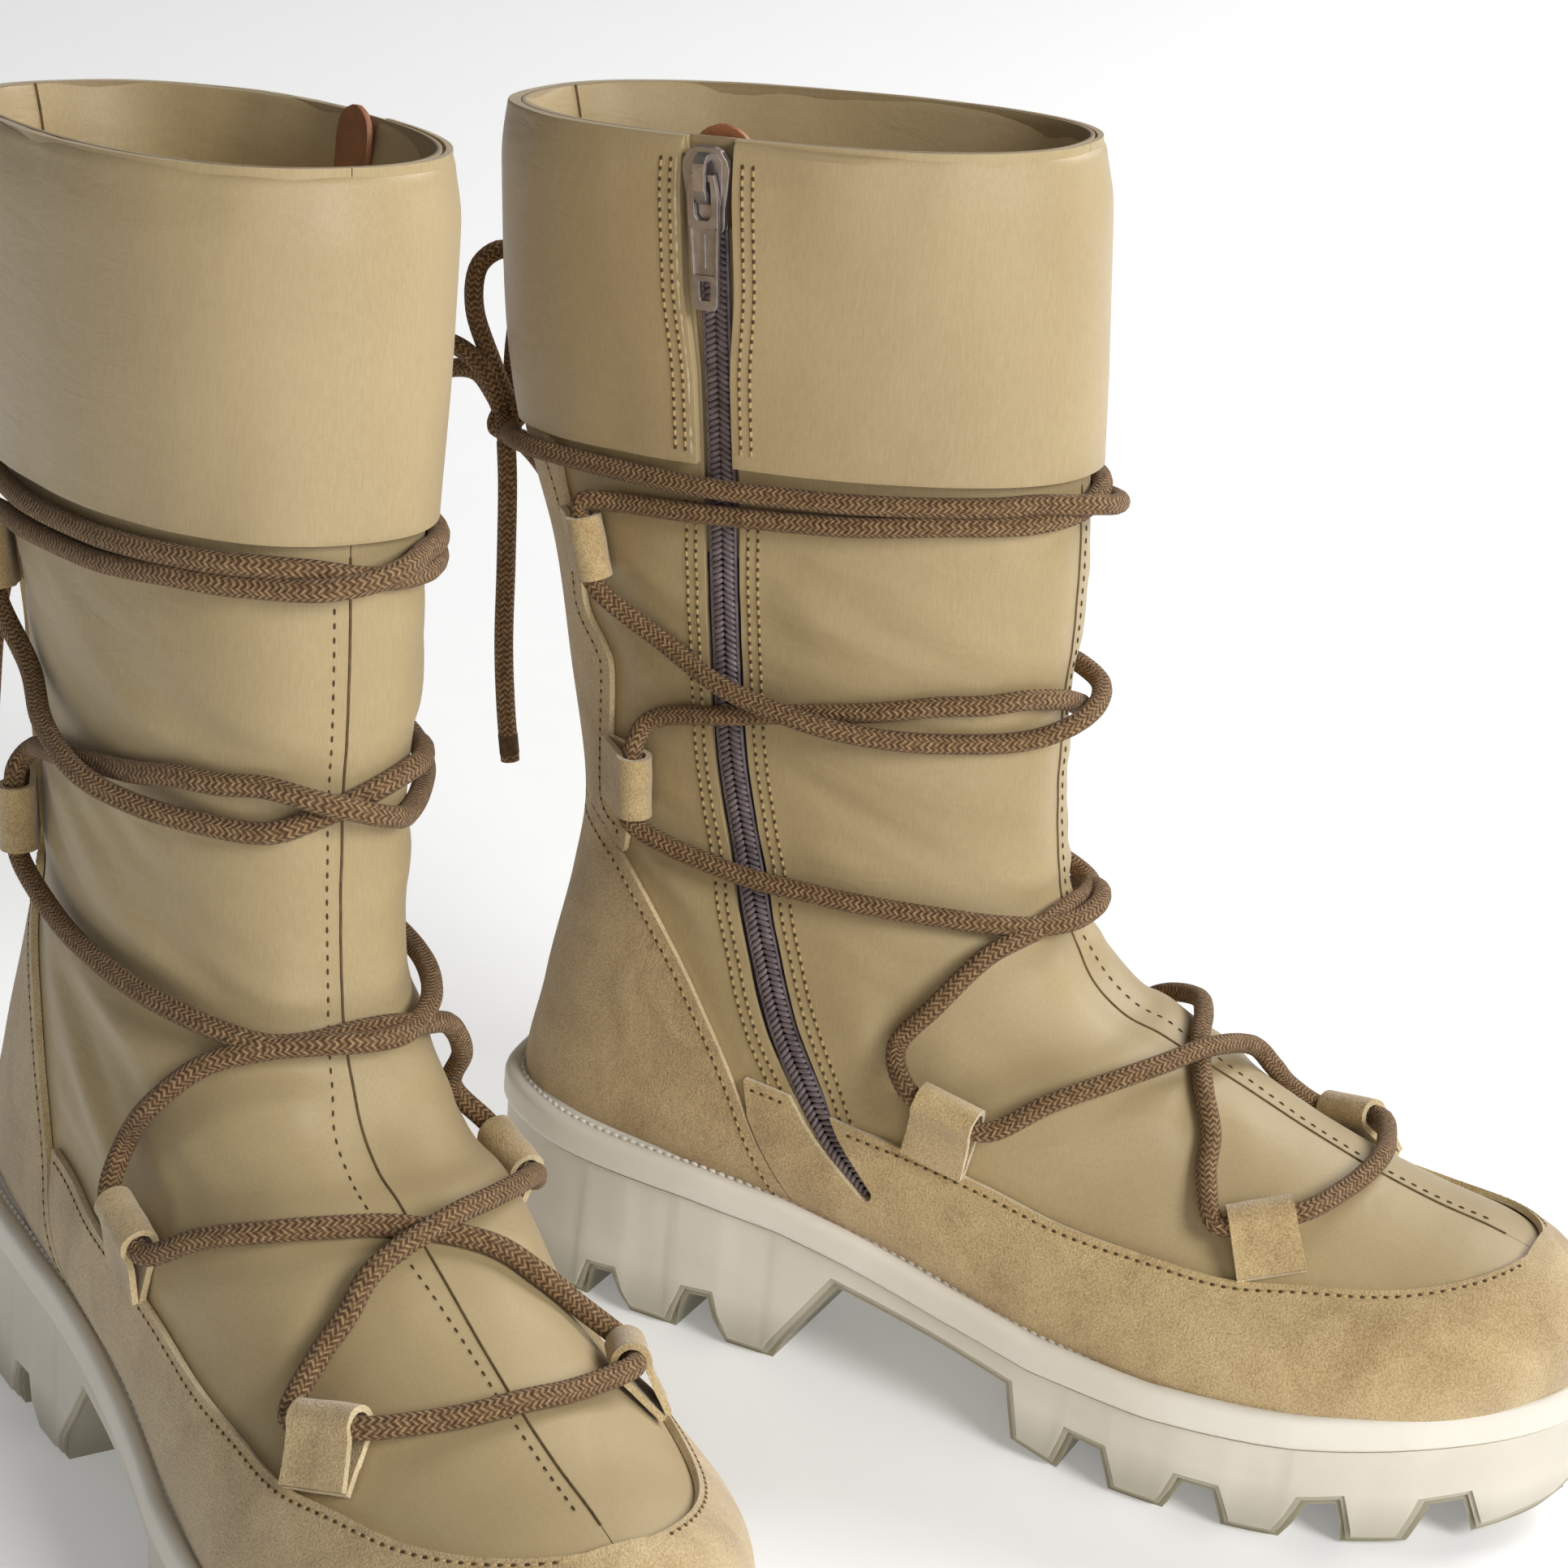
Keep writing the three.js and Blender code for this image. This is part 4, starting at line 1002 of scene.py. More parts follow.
def wrap_cloth(obj):
    """Carries the around coordinate of a tube past its end where a face closes the ring."""
    layer = obj.data.uv_layers["cloth"]
    uv = np.zeros(len(obj.data.loops) * 2, np.float32)
    layer.data.foreach_get("uv", uv)
    uv = uv.reshape(-1, 2)
    for polygon in obj.data.polygons:
        if polygon.loop_total != 4:
            continue
        loops = slice(polygon.loop_start, polygon.loop_start + 4)
        around = uv[loops, 1]
        if around.max() - around.min() > 0.5:
            uv[loops, 1] = np.where(around < 0.5, around + 1, around)
    layer.data.foreach_set("uv", uv.ravel())


def add_free_cord(name, points, mats, node):
    """A bow loop or a tail of the lace, which hangs free from the knot."""
    line = spline(points, 60)
    verts, faces, cloth = tube(line, LACE_RADIUS, 14)
    made = make_pair(name, verts, faces, mats["lace"], replaces=[node],
                     slot="lace_cord", cloth=cloth)
    for side, obj in zip(SIDES, made):
        wrap_cloth(obj)
        path = place(line, side)


def add_knot(mats):
    """One wrap of the same cord round a short core at the crossing of the bow."""
    turn = np.linspace(0, 2.2 * np.pi, 60)
    x, y, z = KNOT
    wrap = np.stack([x + 3.2 * np.cos(turn), y + 2.6 * np.sin(turn) + 0.4 * turn - 1.2,
                     z + 3.4 * np.sin(turn + 0.5)], 1)
    core = spline([(x + 3, y - 6, z - 4), (x, y - 2, z - 1), (x - 2, y + 2, z + 1),
                   (x + 1, y + 6, z + 2)], 30)
    parts = [tube(wrap, LACE_RADIUS * 0.92, 12), tube(core, LACE_RADIUS * 0.92, 12)]
    verts, faces = joined([(v, f) for v, f, _ in parts])
    cloth = np.concatenate([c for _, _, c in parts])
    for obj in make_pair("lace_knot", verts, faces, mats["lace"], replaces=["lace_bow"],
                         slot="lace_cord", cloth=cloth):
        wrap_cloth(obj)


def add_tips(mats):
    """Heat-sealed ends of the two tails."""
    parts = []
    for tail in (TAIL_INNER, TAIL_OUTER):
        end = spline(tail, 60)[-6:]
        reach = resample(end, 12)
        parts.append(tube(reach, np.concatenate([np.full(9, LACE_RADIUS + 0.12),
                                                 [2.1, 1.7, 1.0]]), 14)[:2])
    verts, faces = joined(parts)
    make_pair("lace_tips", verts, faces, mats["hole"], slot="lace_cord")


# ------------------------------------------------------------------ cloth and suede of the upper

def side_outline(edge, rest):
    """A closed outline whose edge runs smoothly through the given points."""
    return [tuple(p) for p in spline(edge, 80)] + rest


COUNTER = side_outline([(-40, 117)] + COUNTER_EDGE, [(83, 20), (-40, 20)])
RAND_REAR = [(x + 0.8, z) for x, z in COUNTER_EDGE[4:]][::-1]
RAND = ([(84, 20)] + RAND_REAR + [tuple(p) for p in spline(RAND_EDGE, 90)]
        + [(250.6, 120), (300, 120), (300, 20)])
BACKSTAY = side_outline([(-40, 211.5)] + BACKSTAY_EDGE, [(5, 123), (-40, 118)])


def even_turns(count):
    """Turns set closer at the front, rear and sides, where the surface runs fastest."""
    t = np.linspace(0, 1, count)
    return t - 0.92 * np.sin(8 * np.pi * t) / (8 * np.pi)


def surface_grid(coarse=1):
    """Turn and place of every point of the grid the upper is made from."""
    where = np.concatenate([np.linspace(0, 8, 180 // coarse),
                            np.linspace(8, LAST, 130 // coarse)[1:]])
    return np.meshgrid(where, even_turns(304 // coarse), indexing="ij")


def cloth_coordinates(turn, where):
    girth, tall = 340, 36
    return np.stack([np.minimum(turn, 1 - turn) * girth, where * tall], -1)


def soft_noise(points, scale):
    scaled = points / np.asarray(scale, float)
    return np.array([noise.noise(Vector(p)) for p in scaled])


def relief(points, where, lace_tree):
    """How far the padded cloth stands out: folds at the ankle, drawn in under the lace."""
    from_lace = np.array([lace_tree.find(Vector(p))[2] for p in points])
    covered = np.maximum.reduce([inside_field(points, o) for o in (COUNTER, RAND, BACKSTAY)])
    free = smoothstep(0.5, 11, -covered)
    amount = np.interp(where, [0, 2, 3.2, 4.5, 6, 7.5, 9, 12, 14.5, 16],
                       [0.5, 0.9, 1.4, 1.9, 2.2, 1.8, 1.2, 0.7, 0.25, 0])
    slanted = points.copy()
    slanted[:, 2] += 0.35 * slanted[:, 0]
    folds = soft_noise(slanted, (62, 70, 13)) + 0.45 * soft_noise(slanted + 90, (36, 46, 7.5))
    swell = 0.7 + 1.3 * folds
    swell *= 0.3 + 0.7 * smoothstep(1, 13, np.abs(points[:, 1]))
    near_zip = 0.35 + 0.65 * smoothstep(5, 20, zip_field(points, ZIP_MOUTH, SHAFT_MOUTH))
    return free * amount * near_zip * swell * smoothstep(2.6, 12, from_lace)


def base_sheet(lift, coarse=1):
    """The whole upper as one sheet; the toe's small end is closed."""
    where, turn = surface_grid(coarse)
    rows, columns = where.shape
    points = upper(turn, where, lift)
    cloth = cloth_coordinates(turn, where)
    last = points[-1]
    middle = last.mean(0)
    cap = np.array([middle + (last - middle) * s + (0.6 * (1 - s), 0, 0) for s in (0.6, 0.2, 0.02)])
    points = np.concatenate([points, cap])
    cloth = np.concatenate([cloth, cloth[-1:].repeat(3, 0)])
    return Sheet(points.reshape(-1, 3), cloth.reshape(-1, 2),
                 grid_faces(rows + 3, columns, False))


def above_welt(sheet, depth):
    """The part of a sheet above the welt, and a little below its edge."""
    return sheet.cut(sheet.points[:, 2] - feather_height(sheet.points[:, 0]) + depth)


def add_nylon(mats, lace_tree):
    """Outer and inner cloth of the shaft and vamp, split by the centre seams and the zip."""
    where, turn = surface_grid()
    flat = upper(turn, where).reshape(-1, 3)
    lift = relief(flat, where.ravel(), lace_tree).reshape(where.shape)
    sheet = above_welt(base_sheet(lift), 2)
    outer = sheet.cut(sheet.points[:, 1] - 0.12)
    inner = sheet.cut(-sheet.points[:, 1] - 0.12)
    inner = inner.cut(zip_field(inner.points, ZIP_MOUTH, SHAFT_MOUTH))
    side_of = zip_side(inner.points, zip_centre(400, above=True))
    front = inner.cut(side_of)
    rear = inner.cut(-side_of)
    made = []
    for name, part, node in (("nylon_outer", outer, "nylon_lateral"),
                             ("nylon_inner_front", front, "nylon_medial_front"),
                             ("nylon_inner_rear", rear, "nylon_medial_rear")):
        made += make_cloth(name, part, mats["nylon"], node, "nylon")
    thicken(made, NYLON)
    split_edges(made)


def zip_side(points, line):
    """Signed distance ahead of the zip's line, which is carried on below its end."""
    tail = line[-1] + (line[-1] - line[-2]) * 200
    distance, side = nearest_on_line(points[:, [0, 2]], np.concatenate([line, [tail]]))
    return distance * side


def split_edges(objects, angle=38):
    for obj in objects:
        split = obj.modifiers.new("crisp", "EDGE_SPLIT")
        split.split_angle = math.radians(angle)


def add_lining(mats):
    where, _ = surface_grid(2)
    # Its finish is darker than the outer nylon, which is painted shade inside the shaft.
    sheet = above_welt(base_sheet(LINING_LIFT + 1.9 * smoothstep(3.4, 2.6, where), 2), 2)
    made = make_cloth("lining", sheet, mats["lining"], "lining", "lining_cloth")
    thicken(made, LINING)


def add_stiffener(mats):
    """The stiffener at the heel, hidden between cloth and lining."""
    sheet = above_welt(base_sheet(-NYLON - AIR, 2), 0)
    sheet = sheet.cut(inside_field(sheet.points, STIFFENER_EDGE))
    made = make_cloth("heel_stiffener", sheet, mats["stiff"], "heel_stiffener", "thermoplastic")
    thicken(made, STIFFENER)


def add_suede(mats):
    """Heel counter, toe rand and back stay, with pale cut edges."""
    whole = above_welt(base_sheet(AIR + SUEDE), 2)
    counter = whole.cut(inside_field(whole.points, COUNTER))
    stay = whole.cut(inside_field(whole.points, BACKSTAY))
    rand = whole.cut(inside_field(whole.points, RAND))
    rand = rand.cut(zip_field(rand.points, 5.2, 6.6))
    made = []
    for name, part in (("heel_counter", counter), ("backstay", stay), ("toe_rand", rand)):
        made += make_cloth(name, part, mats["suede"], name, "suede")
    for obj in made:
        obj.data.materials.append(mats["suede_edge"])
    thicken(made, SUEDE)
    for obj in made:
        obj.modifiers["thickness"].material_offset_rim = 1
    split_edges(made)


def cuff_points(turn, where, lift):
    """Points of the collar's cloth: thinner towards the rim, with slack waves."""
    flat = upper(turn, where, lift)
    waves = soft_noise(flat.reshape(-1, 3), (30, 30, 60)).reshape(flat.shape[:-1])
    ripples = soft_noise(flat.reshape(-1, 3) + 50, (15, 15, 30)).reshape(flat.shape[:-1])
    pinch = 1 - 0.45 * smoothstep(0.45, 0.03, where)
    middle = (CUFF_OUT + CUFF_IN) / 2 + 0.4
    edge = smoothstep(0.7, 0.0, where)
    outward = np.where(lift > -1, 1, 1.3)
    from_zip = zip_field(flat.reshape(-1, 3), ZIP_MOUTH, ZIP_MOUTH)
    near_zip = 0.3 + 0.7 * smoothstep(6, 18, from_zip)
    slack = (1.7 * waves + 0.7 * ripples) * (0.4 + 0.6 * edge) * near_zip.reshape(waves.shape)
    where = where + 0.055 * waves * edge * (0.3 + 0.7 * (lift < 3))
    where = where + RIM_TILT * np.cos(2 * np.pi * turn) * edge
    return upper(turn, where, middle + (lift - middle) * pinch + outward * slack)


def add_cuff(mats):
    """The collar folded down outside: one cloth from inside the shaft, over the rim, down."""
    roll = (CUFF_OUT - CUFF_IN) / 2
    per_place = 38.5
    rim = roll / per_place
    arc = np.linspace(0, np.pi, 15)[1:-1]
    outside = [(w, CUFF_OUT) for w in np.linspace(CUFF_FOOT, rim, 64)]
    over = [(rim * (1 - math.sin(a)), (CUFF_OUT + CUFF_IN) / 2 + roll * math.cos(a)) for a in arc]
    inside = [(w, CUFF_IN) for w in np.linspace(rim, CUFF_INNER_FOOT, 60)]
    profile = np.array(outside + over + inside)
    turns, where = np.meshgrid(np.linspace(0, 1, 300), profile[:, 0])
    lift = np.repeat(profile[:, 1:], turns.shape[1], 1)
    points = cuff_points(turns, where, lift).reshape(-1, 3)
    cloth = cloth_coordinates(turns, np.cumsum(np.full(where.shape, 0.03), 0)).reshape(-1, 2)
    faces = [tuple(reversed(f)) for f in grid_faces(*where.shape, False)]
    sheet = Sheet(points, cloth, faces)
    sheet = sheet.cut(zip_field(sheet.points, ZIP_MOUTH, CUFF_MOUTH))
    made = make_cloth("collar_cuff", sheet, mats["cuff"], "collar_cuff", "nylon")
    thicken(made, CUFF)
    round_edges(made, 0.7, 3, 50)


def on_collar(line, sink):
    """Points sunk into the collar over a line in x, z on the inner side, and their normals."""
    turn, where = find_on_side(line[:, 0], line[:, 1], -1)
    points = cuff_points(turn, where, np.full(len(line), CUFF_OUT)) + (0, sink, 0)
    return points, on_side(line, -1, 0)[1]


def add_binding(mats):
    """Frayed pale binding along the cuff's rear flap."""
    centre = zip_centre(200)
    keep = between(centre[:, 1], BINDING)
    half = zip_half(centre[:, 1], ZIP_MOUTH, CUFF_MOUTH) + 0.8
    rearward = -to_left(directions(centre))
    if rearward[0, 0] > 0:
        rearward = -rearward
    line = (centre + rearward * half[:, None])[keep]
    points, normals = on_collar(line, 0.7)
    fray = np.array([noise.noise(Vector(p * 0.9)) for p in points])
    verts, faces, _ = tube(points, 0.95 + 0.22 * fray, 8, 0.8, normals)
    make_pair("cuff_binding", verts, faces, mats["binding"], slot="nylon")


def over_cloth(turn, where, extra, lace_tree):
    """Points lying on the padded cloth with its folds."""
    flat = upper(turn, where)
    return upper(turn, where, relief(flat, where, lace_tree) + extra)


def row_on_cloth(line, extra, lace_tree):
    turn, where = find_on_side(line[:, 0], line[:, 1], -1)
    normals = normals_at(turn, where)
    normals *= -np.sign(normals[:, 1:2])
    return over_cloth(turn, where, extra, lace_tree), normals, ZIP_ROW_PITCH


def stitch_lines(lace_tree):
    """The double rows beside the zip: points, normals, pitch."""
    rows = []
    centre = zip_centre(300)
    forward = to_left(directions(centre))
    if forward[0, 0] < 0:
        forward = -forward
    on_shaft = between(centre[:, 1], ROWS_ON_SHAFT)
    on_cuff = between(centre[:, 1], ROWS_ON_CUFF)
    for sign in (-1, 1):
        for gap in ZIP_ROW_GAPS:
            half = zip_half(centre[:, 1], ZIP_MOUTH, SHAFT_MOUTH) + gap
            row = (centre + sign * forward * half[:, None])[on_shaft]
            rows.append(row_on_cloth(row, PROUD, lace_tree))
            half = zip_half(centre[:, 1], ZIP_MOUTH, CUFF_MOUTH) + gap
            row = (centre + sign * forward * half[:, None])[on_cuff]
            rows.append((*on_collar(row, -PROUD), ZIP_ROW_PITCH))
    return rows


def stretches(mask):
    """Start and end of every run of true values."""
    edges = np.flatnonzero(np.diff(np.concatenate([[0], mask.astype(int), [0]])))
    return list(zip(edges[::2], edges[1::2]))


def suede_lines():
    """The rows just inside the edges of the suede pieces, left out where the zip crosses."""
    rows = []
    lift = AIR + SUEDE
    counter = spline(COUNTER_EDGE, 120)[3:-4]
    rand = spline(RAND_EDGE, 200)[2:-2]
    stay = spline(BACKSTAY_EDGE, 120)[4:-4]
    for side in (-1, 1):
        for line, inset in ((counter, 2.2), (rand, 2.2), (stay, 1.8)):
            points, normals = on_side(offset_line(line, -inset), side, lift)
            clear = zip_field(points, 7.4, 7.4) > 0
            for start, end in stretches(clear):
                if end - start > 4:
                    rows.append((points[start:end], normals[start:end], SUEDE_ROW_PITCH))
    return rows


def add_stitches(mats, lace_tree):
    """Threads, and dark spots between them, painted shade at the needle holes."""
    threads, holes = [], []
    for points, normals, pitch in stitch_lines(lace_tree) + suede_lines():
        holes.append(dashes(points, normals, pitch, (0.62, 0.42, 0.2), 0.5))
        threads.append(dashes(points, normals, pitch, (0.85, 0.34, 0.3), 1.0))
    for name, parts, finish in (("stitch_threads", threads, "thread"),
                                ("needle_holes", holes, "hole")):
        verts, faces = joined(parts)
        make_pair(name, verts, faces, mats[finish], slot="suede")


def front_line(start, end, extra, turn, lace_tree):
    where = np.linspace(start, end, 500)
    turns = np.full(len(where), turn)
    normals = normals_at(turns + 1e-4, where)
    normals *= np.sign(normals[:, :1] + 1e-9)
    return over_cloth(turns, where, extra, lace_tree), normals


def add_seams(mats, lace_tree):
    """Centre seam down the front with its row of stitches, and the seam inside the collar; both
    seams are dark tubes of painted shade in their grooves.
    """
    front, _ = front_line(2.1, 15.2, 0.02, 0.0, lace_tree)
    where = np.linspace(0.06, 3, 80)
    inside = cuff_points(np.full(80, INSIDE_SEAM), where, np.full(80, CUFF_IN - 0.1))
    verts, faces = joined([tube(front, 0.34, 6)[:2], tube(inside, 0.35, 6)[:2]])
    make_pair("seam_grooves", verts, faces, mats["groove"], slot="nylon")
    points, normals = front_line(2.2, 14.8, 0.15, 0.0115, lace_tree)
    verts, faces = dashes(points, normals, 3.0, (0.75, 0.26, 0.22))
    make_pair("centre_stitches", verts, faces, mats["hole"], slot="nylon")


# ------------------------------------------------------------------ lace loops

def loop_form(name, side):
    """A strip folded back on itself, a little wavy, with the lace's bore left open."""
    foot, strip, _, out, length = loop_frame(name, side)
    across = np.cross(strip, out)
    reach = LOOP_BORE + LOOP_WALL / 2
    rise = LOOP_WALL + LOOP_BORE
    arc = np.linspace(-np.pi / 2, np.pi * 0.66, 20)
    centre_line = [(t, LOOP_WALL / 2) for t in np.linspace(-2.5, length, 8)[:-1]]
    centre_line += [(length + reach * math.cos(a), rise + reach * math.sin(a)) for a in arc]
    end_x, end_z = centre_line[-1]
    centre_line += [(mix(end_x, -2.5, t), mix(end_z, 1.5 * LOOP_WALL + 0.1, t ** 0.7))
                    for t in np.linspace(0, 1, 9)[1:]]
    line = resample(np.array(centre_line, float), 56)
    normal = -to_left(directions(line))
    seed = sum(ord(c) for c in name) + side
    widths = np.linspace(-0.5, 0.5, 13)
    verts = []
    for face_sign in (1, -1):
        for k, (p, n) in enumerate(zip(line, normal)):
            pinch = 1 - 0.05 * math.sin(math.pi * k / (len(line) - 1))
            ragged = 0.25 * noise.noise(Vector((k * 0.35, seed, face_sign)))
            for w in widths:
                q = p + n * face_sign * LOOP_WALL / 2
                wobble = 0.18 * noise.noise(Vector((k * 0.12, w * 3, seed)))
                q = q + n * wobble
                sway = w * (LOOP_WIDTH * pinch + ragged)
                verts.append(foot + strip * q[0] + out * q[1] + across * sway)
    rows, columns = len(line), len(widths)
    front = grid_faces(rows, columns, False)
    count = rows * columns
    back = [tuple(i + count for i in reversed(face)) for face in front]
    edges = []
    ring = ([r * columns for r in range(rows)]
            + [(rows - 1) * columns + c for c in range(1, columns)]
            + [r * columns + columns - 1 for r in range(rows - 2, -1, -1)]
            + [c for c in range(columns - 2, 0, -1)])
    for a, b in zip(ring, ring[1:] + ring[:1]):
        edges.append((b, a, a + count, b + count))
    return np.array(verts), front + back, edges


def add_loops(mats):
    for name in LOOPS:
        for sign, word in ((-1, "medial"), (1, "lateral")):
            verts, faces, edges = loop_form(name, sign)
            made = make_pair(f"loop_{name}_{word}", verts, faces + edges, mats["suede"],
                             replaces=[f"loop_{name}_{word}"], slot="suede")
            for obj in made:
                obj.data.materials.append(mats["suede_edge"])
                for polygon in obj.data.polygons[len(faces):]:
                    polygon.material_index = 1
            fix_normals(made)
            split_edges(made, 50)


def fix_normals(objects):
    """Turns the faces of closed forms outwards."""
    for obj in objects:
        bm = bmesh.new()
        bm.from_mesh(obj.data)
        bmesh.ops.recalc_face_normals(bm, faces=bm.faces)
        bm.to_mesh(obj.data)
        bm.free()


# ------------------------------------------------------------------ the zip

def zip_frames(count, lift):
    """Points down the zip's middle on the inner side, with directions down, across and out."""
    centre = zip_centre(600)
    centre = resample(centre[centre[:, 1] < COIL_TOP], count)
    points, out = on_side(centre, -1, lift)
    down = directions(points)
    across = unit(np.cross(out, down))
    return points, down, across, np.cross(down, across)


def add_zip(mats):
    """The tape, and the closed coil as two rows of slanting turns and two cords."""
    sheet = base_sheet(-NYLON - AIR)
    away, _ = nearest_on_line(sheet.points[:, [0, 2]], zip_centre(120, above=True))
    sheet = sheet.cut(np.where(sheet.points[:, 1] < 0, ZIP_TAPE - away, -50))
    sheet = sheet.cut(TAPE_TOP - sheet.points[:, 2])
    sheet = above_welt(sheet, 0)
    made = make_cloth("zip_tape", sheet, mats["tape"], "zip_tape", "zip_cloth")
    thicken(made, TAPE)
    count = 172
    points, down, across, out = zip_frames(count, -0.2)
    verts, faces = ball(6, 8)
    parts = []
    for sign in (-1, 1):
        slant = unit(down * 0.5 + across * sign * 0.87)
        parts.append(many(verts, faces, points + across * sign * 1.45, slant,
                          np.cross(out, slant), out, (1.95, 0.72, 0.78)))
    for sign in (-1, 1):
        edge = points + across * sign * 3.15 - out * 0.35
        tube_verts, tube_faces, _ = tube(edge, 0.5, 8)
        parts.append((tube_verts, tube_faces))
    verts, faces = joined(parts)
    make_pair("zip_coil", verts, faces, mats["coil"], replaces=["zip_coil"], slot="zip_coil")


def slider_frame():
    """Origin of the closed slider and its directions down, across and out."""
    top, _ = on_side([ZIP_LINE[0]], -1, 0)
    bend, _ = on_side([ZIP_LINE[3]], -1, 0)
    down = unit(bend[0] - top[0])
    out = np.array([0.0, -1, 0])
    out = unit(out - down * (out @ down))
    across = np.cross(out, down)
    origin = top[0] + down * ((top[0][2] - SLIDER_HEIGHT) / -down[2])
    return origin, down, across, out


def on_slider(points):
    origin, down, across, out = slider_frame()
    p = np.asarray(points, float)
    return origin + p[:, :1] * down + p[:, 1:2] * across + p[:, 2:] * out


def slab(outline, low, high):
    """A closed form with an outline in XY, from one height to another."""
    count = len(outline)
    verts = [(x, y, low) for x, y in outline] + [(x, y, high) for x, y in outline]
    faces = [tuple(range(count - 1, -1, -1)), tuple(range(count, 2 * count))]
    faces += [(k, (k + 1) % count, count + (k + 1) % count, count + k) for k in range(count)]
    return verts, faces


def side_slab(outline, half):
    """A closed form with an outline in XZ, as wide as half on each side of the middle."""
    verts, faces = slab(outline, -half, half)
    return [(x, y, z) for x, z, y in verts], [tuple(reversed(face)) for face in faces]


def mirrored(half):
    return half + [(x, -y) for x, y in reversed(half)]


def both_sides(outline, low, high):
    """Two plates that mirror each other, from the outline of the one at positive Y."""
    other = [(x, -y) for x, y in reversed(outline)]
    return [slab(other, low, high), slab(outline, low, high)]


def add_metal(name, form, mats, edge):
    """A metal piece on a body of its own, from a form in the slider's frame."""
    verts, faces = form
    narrow = verts * (1, SLIDER_NARROW, 1)
    made = make_pair(name, on_slider(narrow), faces, mats["metal"], body=name,
                     replaces=[name], slot="zip_metal", smooth=False)
    fix_normals(made)
    round_edges(made, edge, 3, 30)


def add_slider(mats):
    """The slider: base, crown, the two edges that hold the chain, and the bail."""
    half = SLIDER_LENGTH / 2
    plan = [(-half, 2.6), (-half + 0.8, 4.6), (-half + 3, 6.3), (-half + 5, 6.7), (0, 6.1),
            (4, 5.2), (half - 1, 4.9), (half, 4.2)]
    parts = [slab(mirrored(plan), 1.3, 3.0)]
    crown = [(-half + 1.2, 3.2), (-half + 3, 4.9), (0, 4.6), (half - 2.5, 3.4)]
    parts.append(slab(mirrored(crown), 2.9, 3.15))
    rail = [(-half + 4, 4.15), (half - 0.4, 4.15), (half - 0.4, 5.0), (-half + 4, 5.0)]
    parts += both_sides(rail, -0.9, 1.4)
    bail = [(-8.3, 3.0), (-7.8, 5.2), (-6.4, 6.3), (-4.5, 6.7), (-0.5, 6.7), (1.6, 5.9),
            (3.0, 4.4), (3.4, 3.0), (1.9, 3.0), (1.2, 4.0), (-0.6, 5.55), (-4.3, 5.55),
            (-6.2, 4.9), (-6.7, 3.0)]
    parts.append(side_slab(bail, 1.7))
    add_metal("zip_slider", joined(parts), mats, 0.32)


def ring_plate(outer, inner, low, high):
    """A plate with one window; both outlines have the same number of points."""
    count = len(outer)
    verts = ([(x, y, low) for x, y in outer] + [(x, y, low) for x, y in inner]
             + [(x, y, high) for x, y in outer] + [(x, y, high) for x, y in inner])
    faces = []
    for k in range(count):
        n = (k + 1) % count
        faces.append((k, count + k, count + n, n))
        faces.append((2 * count + k, 2 * count + n, 3 * count + n, 3 * count + k))
        faces.append((k, n, 2 * count + n, 2 * count + k))
        faces.append((count + n, count + k, 3 * count + k, 3 * count + n))
    return verts, faces


def add_tab(mats):
    """The pull tab: a frame round the bail, a long panel between raised rails, a slot."""
    top = 0.7
    head = mirrored([(-0.8, 1.2), (-0.8, 3.4), (2, 4.1), (4.5, 4.4), (9, 4.3), (11.5, 4.2)])
    eye = mirrored([(0.8, 1.0), (0.8, 2.2), (2.5, 2.4), (5, 2.4), (8.5, 2.3), (9.6, 1.4)])
    parts = [ring_plate(head, eye, -top, top)]
    parts.append(slab(mirrored([(11.5, 4.2), (22, 3.75)]), -top, top * 0.35))
    foot = mirrored([(22, 1.0), (22, 3.75), (25, 3.65), (29, 3.4), (TAB_LENGTH, 2.6),
                     (TAB_LENGTH, 1.0)])
    slot_hole = mirrored([(23.4, 0.7), (23.4, 1.5), (24.5, 1.6), (27, 1.5), (27.8, 1.2),
                          (27.8, 0.6)])
    parts.append(ring_plate(foot, slot_hole, -top, top))
    parts += both_sides([(11, 3.25), (22.5, 2.85), (22.5, 3.75), (11, 4.2)], 0.1, top)
    ridge = mirrored([(12.5, 0.5), (20.5, 0.4)])
    parts.append(slab(ridge, 0.2, top * 0.7))
    verts, faces = joined(parts)
    pivot_x, pivot_z = PIVOT
    add_metal("pull_tab", (verts + (pivot_x, 0, pivot_z), faces), mats, 0.22)


def add_garage(mats):
    """Tan leather tongue behind the slider, rounded over the rim."""
    rows, columns = 40, 15
    centre = zip_centre(600)
    centre = resample(centre[centre[:, 1] > 256], rows)
    side = to_left(directions(centre))
    down = np.linspace(0, 38, rows)
    width = 8.0 * np.sqrt(np.clip(1 - ((7 - down) / 7).clip(0, 1) ** 2, 0.02, 1))
    line = np.concatenate([centre + side * w * width[:, None]
                           for w in np.linspace(-1, 1, columns)])
    points, _ = on_side(line, -1, CUFF_IN - 0.35)
    points = points.reshape(columns, rows, 3).transpose(1, 0, 2).reshape(-1, 3)
    points[:, 2] += 3.2
    faces = grid_faces(rows, columns, False)
    made = make_pair("zip_garage", points, faces, mats["tan"], replaces=["zip_garage"],
                     slot="tan_leather")
    thicken(made, 1.3, 0.3, offset=0)


# ------------------------------------------------------------------ the sole

def plan_outline(inset, count=150):
    """The sole's outline seen from above, moved in by a distance, anticlockwise."""
    half = spline(WELT_EDGE, count)
    ring = np.concatenate([half, half[-2:0:-1] * (1, -1)])[::-1]
    ahead = unit(np.roll(ring, -1, 0) - np.roll(ring, 1, 0))
    return ring + inset * to_left(ahead)


